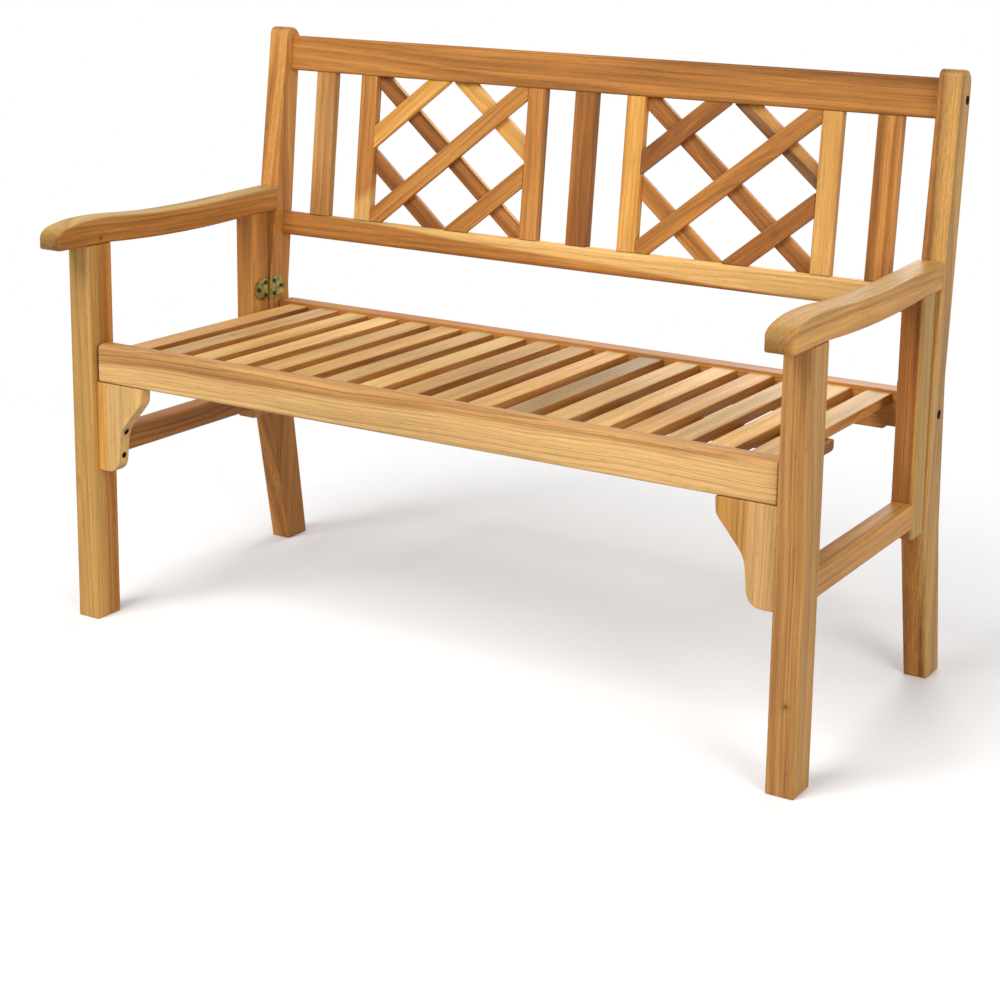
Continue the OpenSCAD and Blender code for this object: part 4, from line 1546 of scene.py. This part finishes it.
@dataclass
class Hardware:
    """Hinges, pins, bolts, screws and the barrel bolts: the nodes keep their shape and get their finish."""

    frame: dict

    def build(self) -> None:
        """Dresses each node."""
        # Yellow passivated zinc on pressed steel: a brassy sheen, with dull olive clouds.
        yellow = Fitting("yellow_passivated_zinc", "#AE984F", "#645F33", 0.36)
        # Bright zinc plate on pressed steel: a cold grey shine, a little blurred.
        bright = Fitting("bright_zinc_plate", "#C4C6C6", "#8C8F90", 0.34)
        # Phosphated and oiled steel: a charcoal face with a weak, soft shine.
        dark = Fitting("black_phosphated_steel", "#3A3733", "#1D1B19", 0.45, 0.6, 2.0)
        # Moulded nylon: an even black with a broad, pale highlight.
        nylon = Fitting("black_nylon", "#202020", "#161616", 0.5, 0.0, 3.0)
        finishes = (
            (yellow, ("hinge_post_leaves", "hinge_leg_leaves", "hinge_pins")),
            (bright, ("bolt_housings", "bolt_keeps", "bolt_rod_left", "bolt_rod_right")),
            (dark, ("hinge_screws", "bracket_screws", "seat_screws", "bolt_screws")),
            (dark, ("pivot_pins", "back_rail_bolts")),
            (nylon, ("locating_dowels",)),
        )
        made = {finish: finish.material() for finish in (yellow, bright, dark, nylon)}
        for finish, nodes in finishes:
            material = made[finish]
            for node in nodes:
                mesh = self.frame["nodes"][node].data
                mesh.materials.clear()
                mesh.materials.append(material)
                log.info("%s is dressed in %s", node, material.name)


@dataclass
class Studio:
    """The white paper floor, the soft lights and the camera at the photograph's place.

    Attributes:
        camera_mm: The camera's place.
        yaw: Its turn to the left, in radians.
        pitch: Its tilt down.
        roll: Its turn about its own axis, clockwise.
        focal_px: Its focal length in pixels of a picture that is image_px wide.
        centre_px: Where its axis meets the picture.
        image_px: Width of the picture that the three values above are for.
        sensor_mm: Width of the sensor.
        world_level: Strength of the surround as light.
        floor_m: Half the floor's width.
        tooth_mm: Size of the paper's tooth, drawn as coarse as it needs to show.
        white_from_m: Where the floor begins to turn into plain white, from the bench's middle.
        white_to_m: Where it is plain white.
    """

    camera_mm: Triple = (1515.9, -2379.5, 1103.4)
    yaw: float = 0.5193
    pitch: float = 0.2013
    roll: float = 0.0219
    focal_px: float = 1980.8
    centre_px: tuple[float, float] = (585.0, 305.0)
    image_px: float = 1000.0
    sensor_mm: float = 36.0
    world_level: float = 0.42
    floor_m: float = 40.0
    tooth_mm: float = 1.1
    white_from_m: float = 0.7
    white_to_m: float = 2.0

    def build(self) -> None:
        """Builds the studio."""
        bpy.context.scene.view_settings.view_transform = "Standard"
        self.floor()
        self.world()
        self.lamp("key", (-1.0, -3.2, 4.0), aim_z=0.4, size=2.6, watts=180.0)
        self.lamp("side", (4.0, -2.2, 1.8), aim_z=0.5, size=2.2, watts=104.0)
        self.lamp("rear", (-0.6, 4.2, 2.6), aim_z=0.5, size=2.6, watts=90.0)
        self.camera()

    def floor(self) -> None:
        """A wide white floor that keeps the bench's soft shadow and is seen as pure white far away."""
        mesh = bpy.data.meshes.new("floor")
        size = self.floor_m
        corners = [(-size, -size, 0), (size, -size, 0), (size, size, 0), (-size, size, 0)]
        mesh.from_pydata(corners, [], [(0, 1, 2, 3)])
        mesh.materials.append(self.paper())
        place_mesh("floor", mesh)

    def paper(self) -> Material:
        """White paper: matt, with a fine tooth.

        It throws back less light than it shows, as a small sheet of paper would.

        Returns:
            The material.
        """
        material, tree, shader = new_material("white_paper")
        here = add(tree, "TexCoord").outputs["Object"]
        tooth = {"Vector": here, "Scale": PER_METRE / self.tooth_mm, "Detail": 2.0}
        grain = add(tree, "TexNoise", tooth).outputs[0]
        whites = ((0.0, linear("#F8F8F8")), (1.0, linear("#FCFCFC")))
        shown = add(tree, "ValToRGB", {"Fac": grain}, whites).outputs[0]
        inputs = {SHARE: self.seen(tree), UNDER: linear("#B4B4B4"), OVER: shown}
        colour = add(tree, "Mix", inputs, data_type="RGBA", blend_type="MIX").outputs[MIXED]
        feed(tree, shader, {"Base Color": colour, "Roughness": 0.9, "Specular IOR Level": 0.0})
        away = add(tree, "VectorMath", {0: here}, operation="LENGTH").outputs["Value"]
        limits = {"Value": away, "From Min": self.white_from_m, "From Max": self.white_to_m}
        far = add(tree, "MapRange", limits, interpolation_type="SMOOTHSTEP").outputs[0]
        share = add(tree, "Math", {0: far, 1: self.seen(tree)}, operation="MULTIPLY").outputs[0]
        white = add(tree, "Emission", {"Color": WHITE, "Strength": 1.0})
        mix = add(tree, "MixShader", {0: share, 1: shader.outputs[0], 2: white.outputs[0]})
        output = next(n for n in tree.nodes if n.type == "OUTPUT_MATERIAL")
        feed(tree, output, {"Surface": mix.outputs[0]})
        return material

    def seen(self, tree: Tree) -> Socket:
        """Tells the rays that show a surface from the rays that gather its light.

        Args:
            tree: The node tree.

        Returns:
            1 for rays from the camera, from a mirror or through glass, 0 for the others.
        """
        rays = add(tree, "LightPath").outputs
        direct = {0: rays["Is Camera Ray"], 1: rays["Is Glossy Ray"]}
        shown = add(tree, "Math", direct, operation="MAXIMUM").outputs[0]
        return add(tree, "Math", {0: shown, 1: rays["Is Transmission Ray"]}, operation="MAXIMUM").outputs[0]

    def world(self) -> None:
        """A soft white surround, seen as pure white."""
        world = bpy.data.worlds.new("soft_white")
        bpy.context.scene.world = world
        world.use_nodes = True
        tree = world.node_tree
        tree.nodes.clear()
        soft = add(tree, "Background", {"Color": WHITE, "Strength": self.world_level})
        white = add(tree, "Background", {"Color": WHITE, "Strength": 1.0})
        mix = add(tree, "MixShader", {0: self.seen(tree), 1: soft.outputs[0], 2: white.outputs[0]})
        add(tree, "OutputWorld", {"Surface": mix.outputs[0]})

    def lamp(self, name: str, place: Triple, aim_z: float, size: float, watts: float) -> None:
        """A square soft lamp.

        Args:
            name: The lamp's name.
            place: Where it stands, in metres.
            aim_z: The height over the bench's middle that it points at, in metres.
            size: Its side, in metres.
            watts: Its power.
        """
        data = bpy.data.lights.new(name, "AREA")
        data.shape = "SQUARE"
        data.size = size
        data.energy = watts
        obj = bpy.data.objects.new(name, data)
        obj.location = place
        obj.rotation_euler = (Vector((0, 0, aim_z)) - Vector(place)).to_track_quat("-Z", "Y").to_euler()
        bpy.context.scene.collection.objects.link(obj)

    def camera(self) -> None:
        """The camera, from its yaw, pitch and roll, with the shift of the photograph's framing."""
        right = Vector((math.cos(self.yaw), math.sin(self.yaw), 0))
        level = math.cos(self.pitch)
        ahead = Vector((-math.sin(self.yaw) * level, math.cos(self.yaw) * level, -math.sin(self.pitch)))
        up = right.cross(ahead)
        side = right * math.cos(self.roll) + up * math.sin(self.roll)
        top = up * math.cos(self.roll) - right * math.sin(self.roll)
        data = bpy.data.cameras.new("photo_camera")
        data.sensor_width = self.sensor_mm
        data.lens = self.sensor_mm * self.focal_px / self.image_px
        data.shift_x = 0.5 - self.centre_px[0] / self.image_px
        data.shift_y = self.centre_px[1] / self.image_px - 0.5
        data.clip_start, data.clip_end = 0.05, 100.0
        obj = bpy.data.objects.new("photo_camera", data)
        basis = Matrix((side, top, -ahead)).transposed().to_4x4()
        obj.matrix_world = Matrix.Translation(Vector(self.camera_mm) * MM) @ basis
        bpy.context.scene.collection.objects.link(obj)
        bpy.context.scene.camera = obj


def main(frame: dict) -> None:
    """Builds the bench's looks in order.
    """
    logging.basicConfig(level=logging.INFO, format="%(name)s: %(message)s")
    shop = Workshop(frame)
    builders: Sequence[Callable[[], None]] = (
        Studio().build,
        BackFrame(shop).build,
        ArmFrames(shop).build,
        Seat(shop).build,
        Hardware(frame).build,
    )
    for build in builders:
        build()


if __name__ == "__main__":
    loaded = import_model()
    main(loaded)
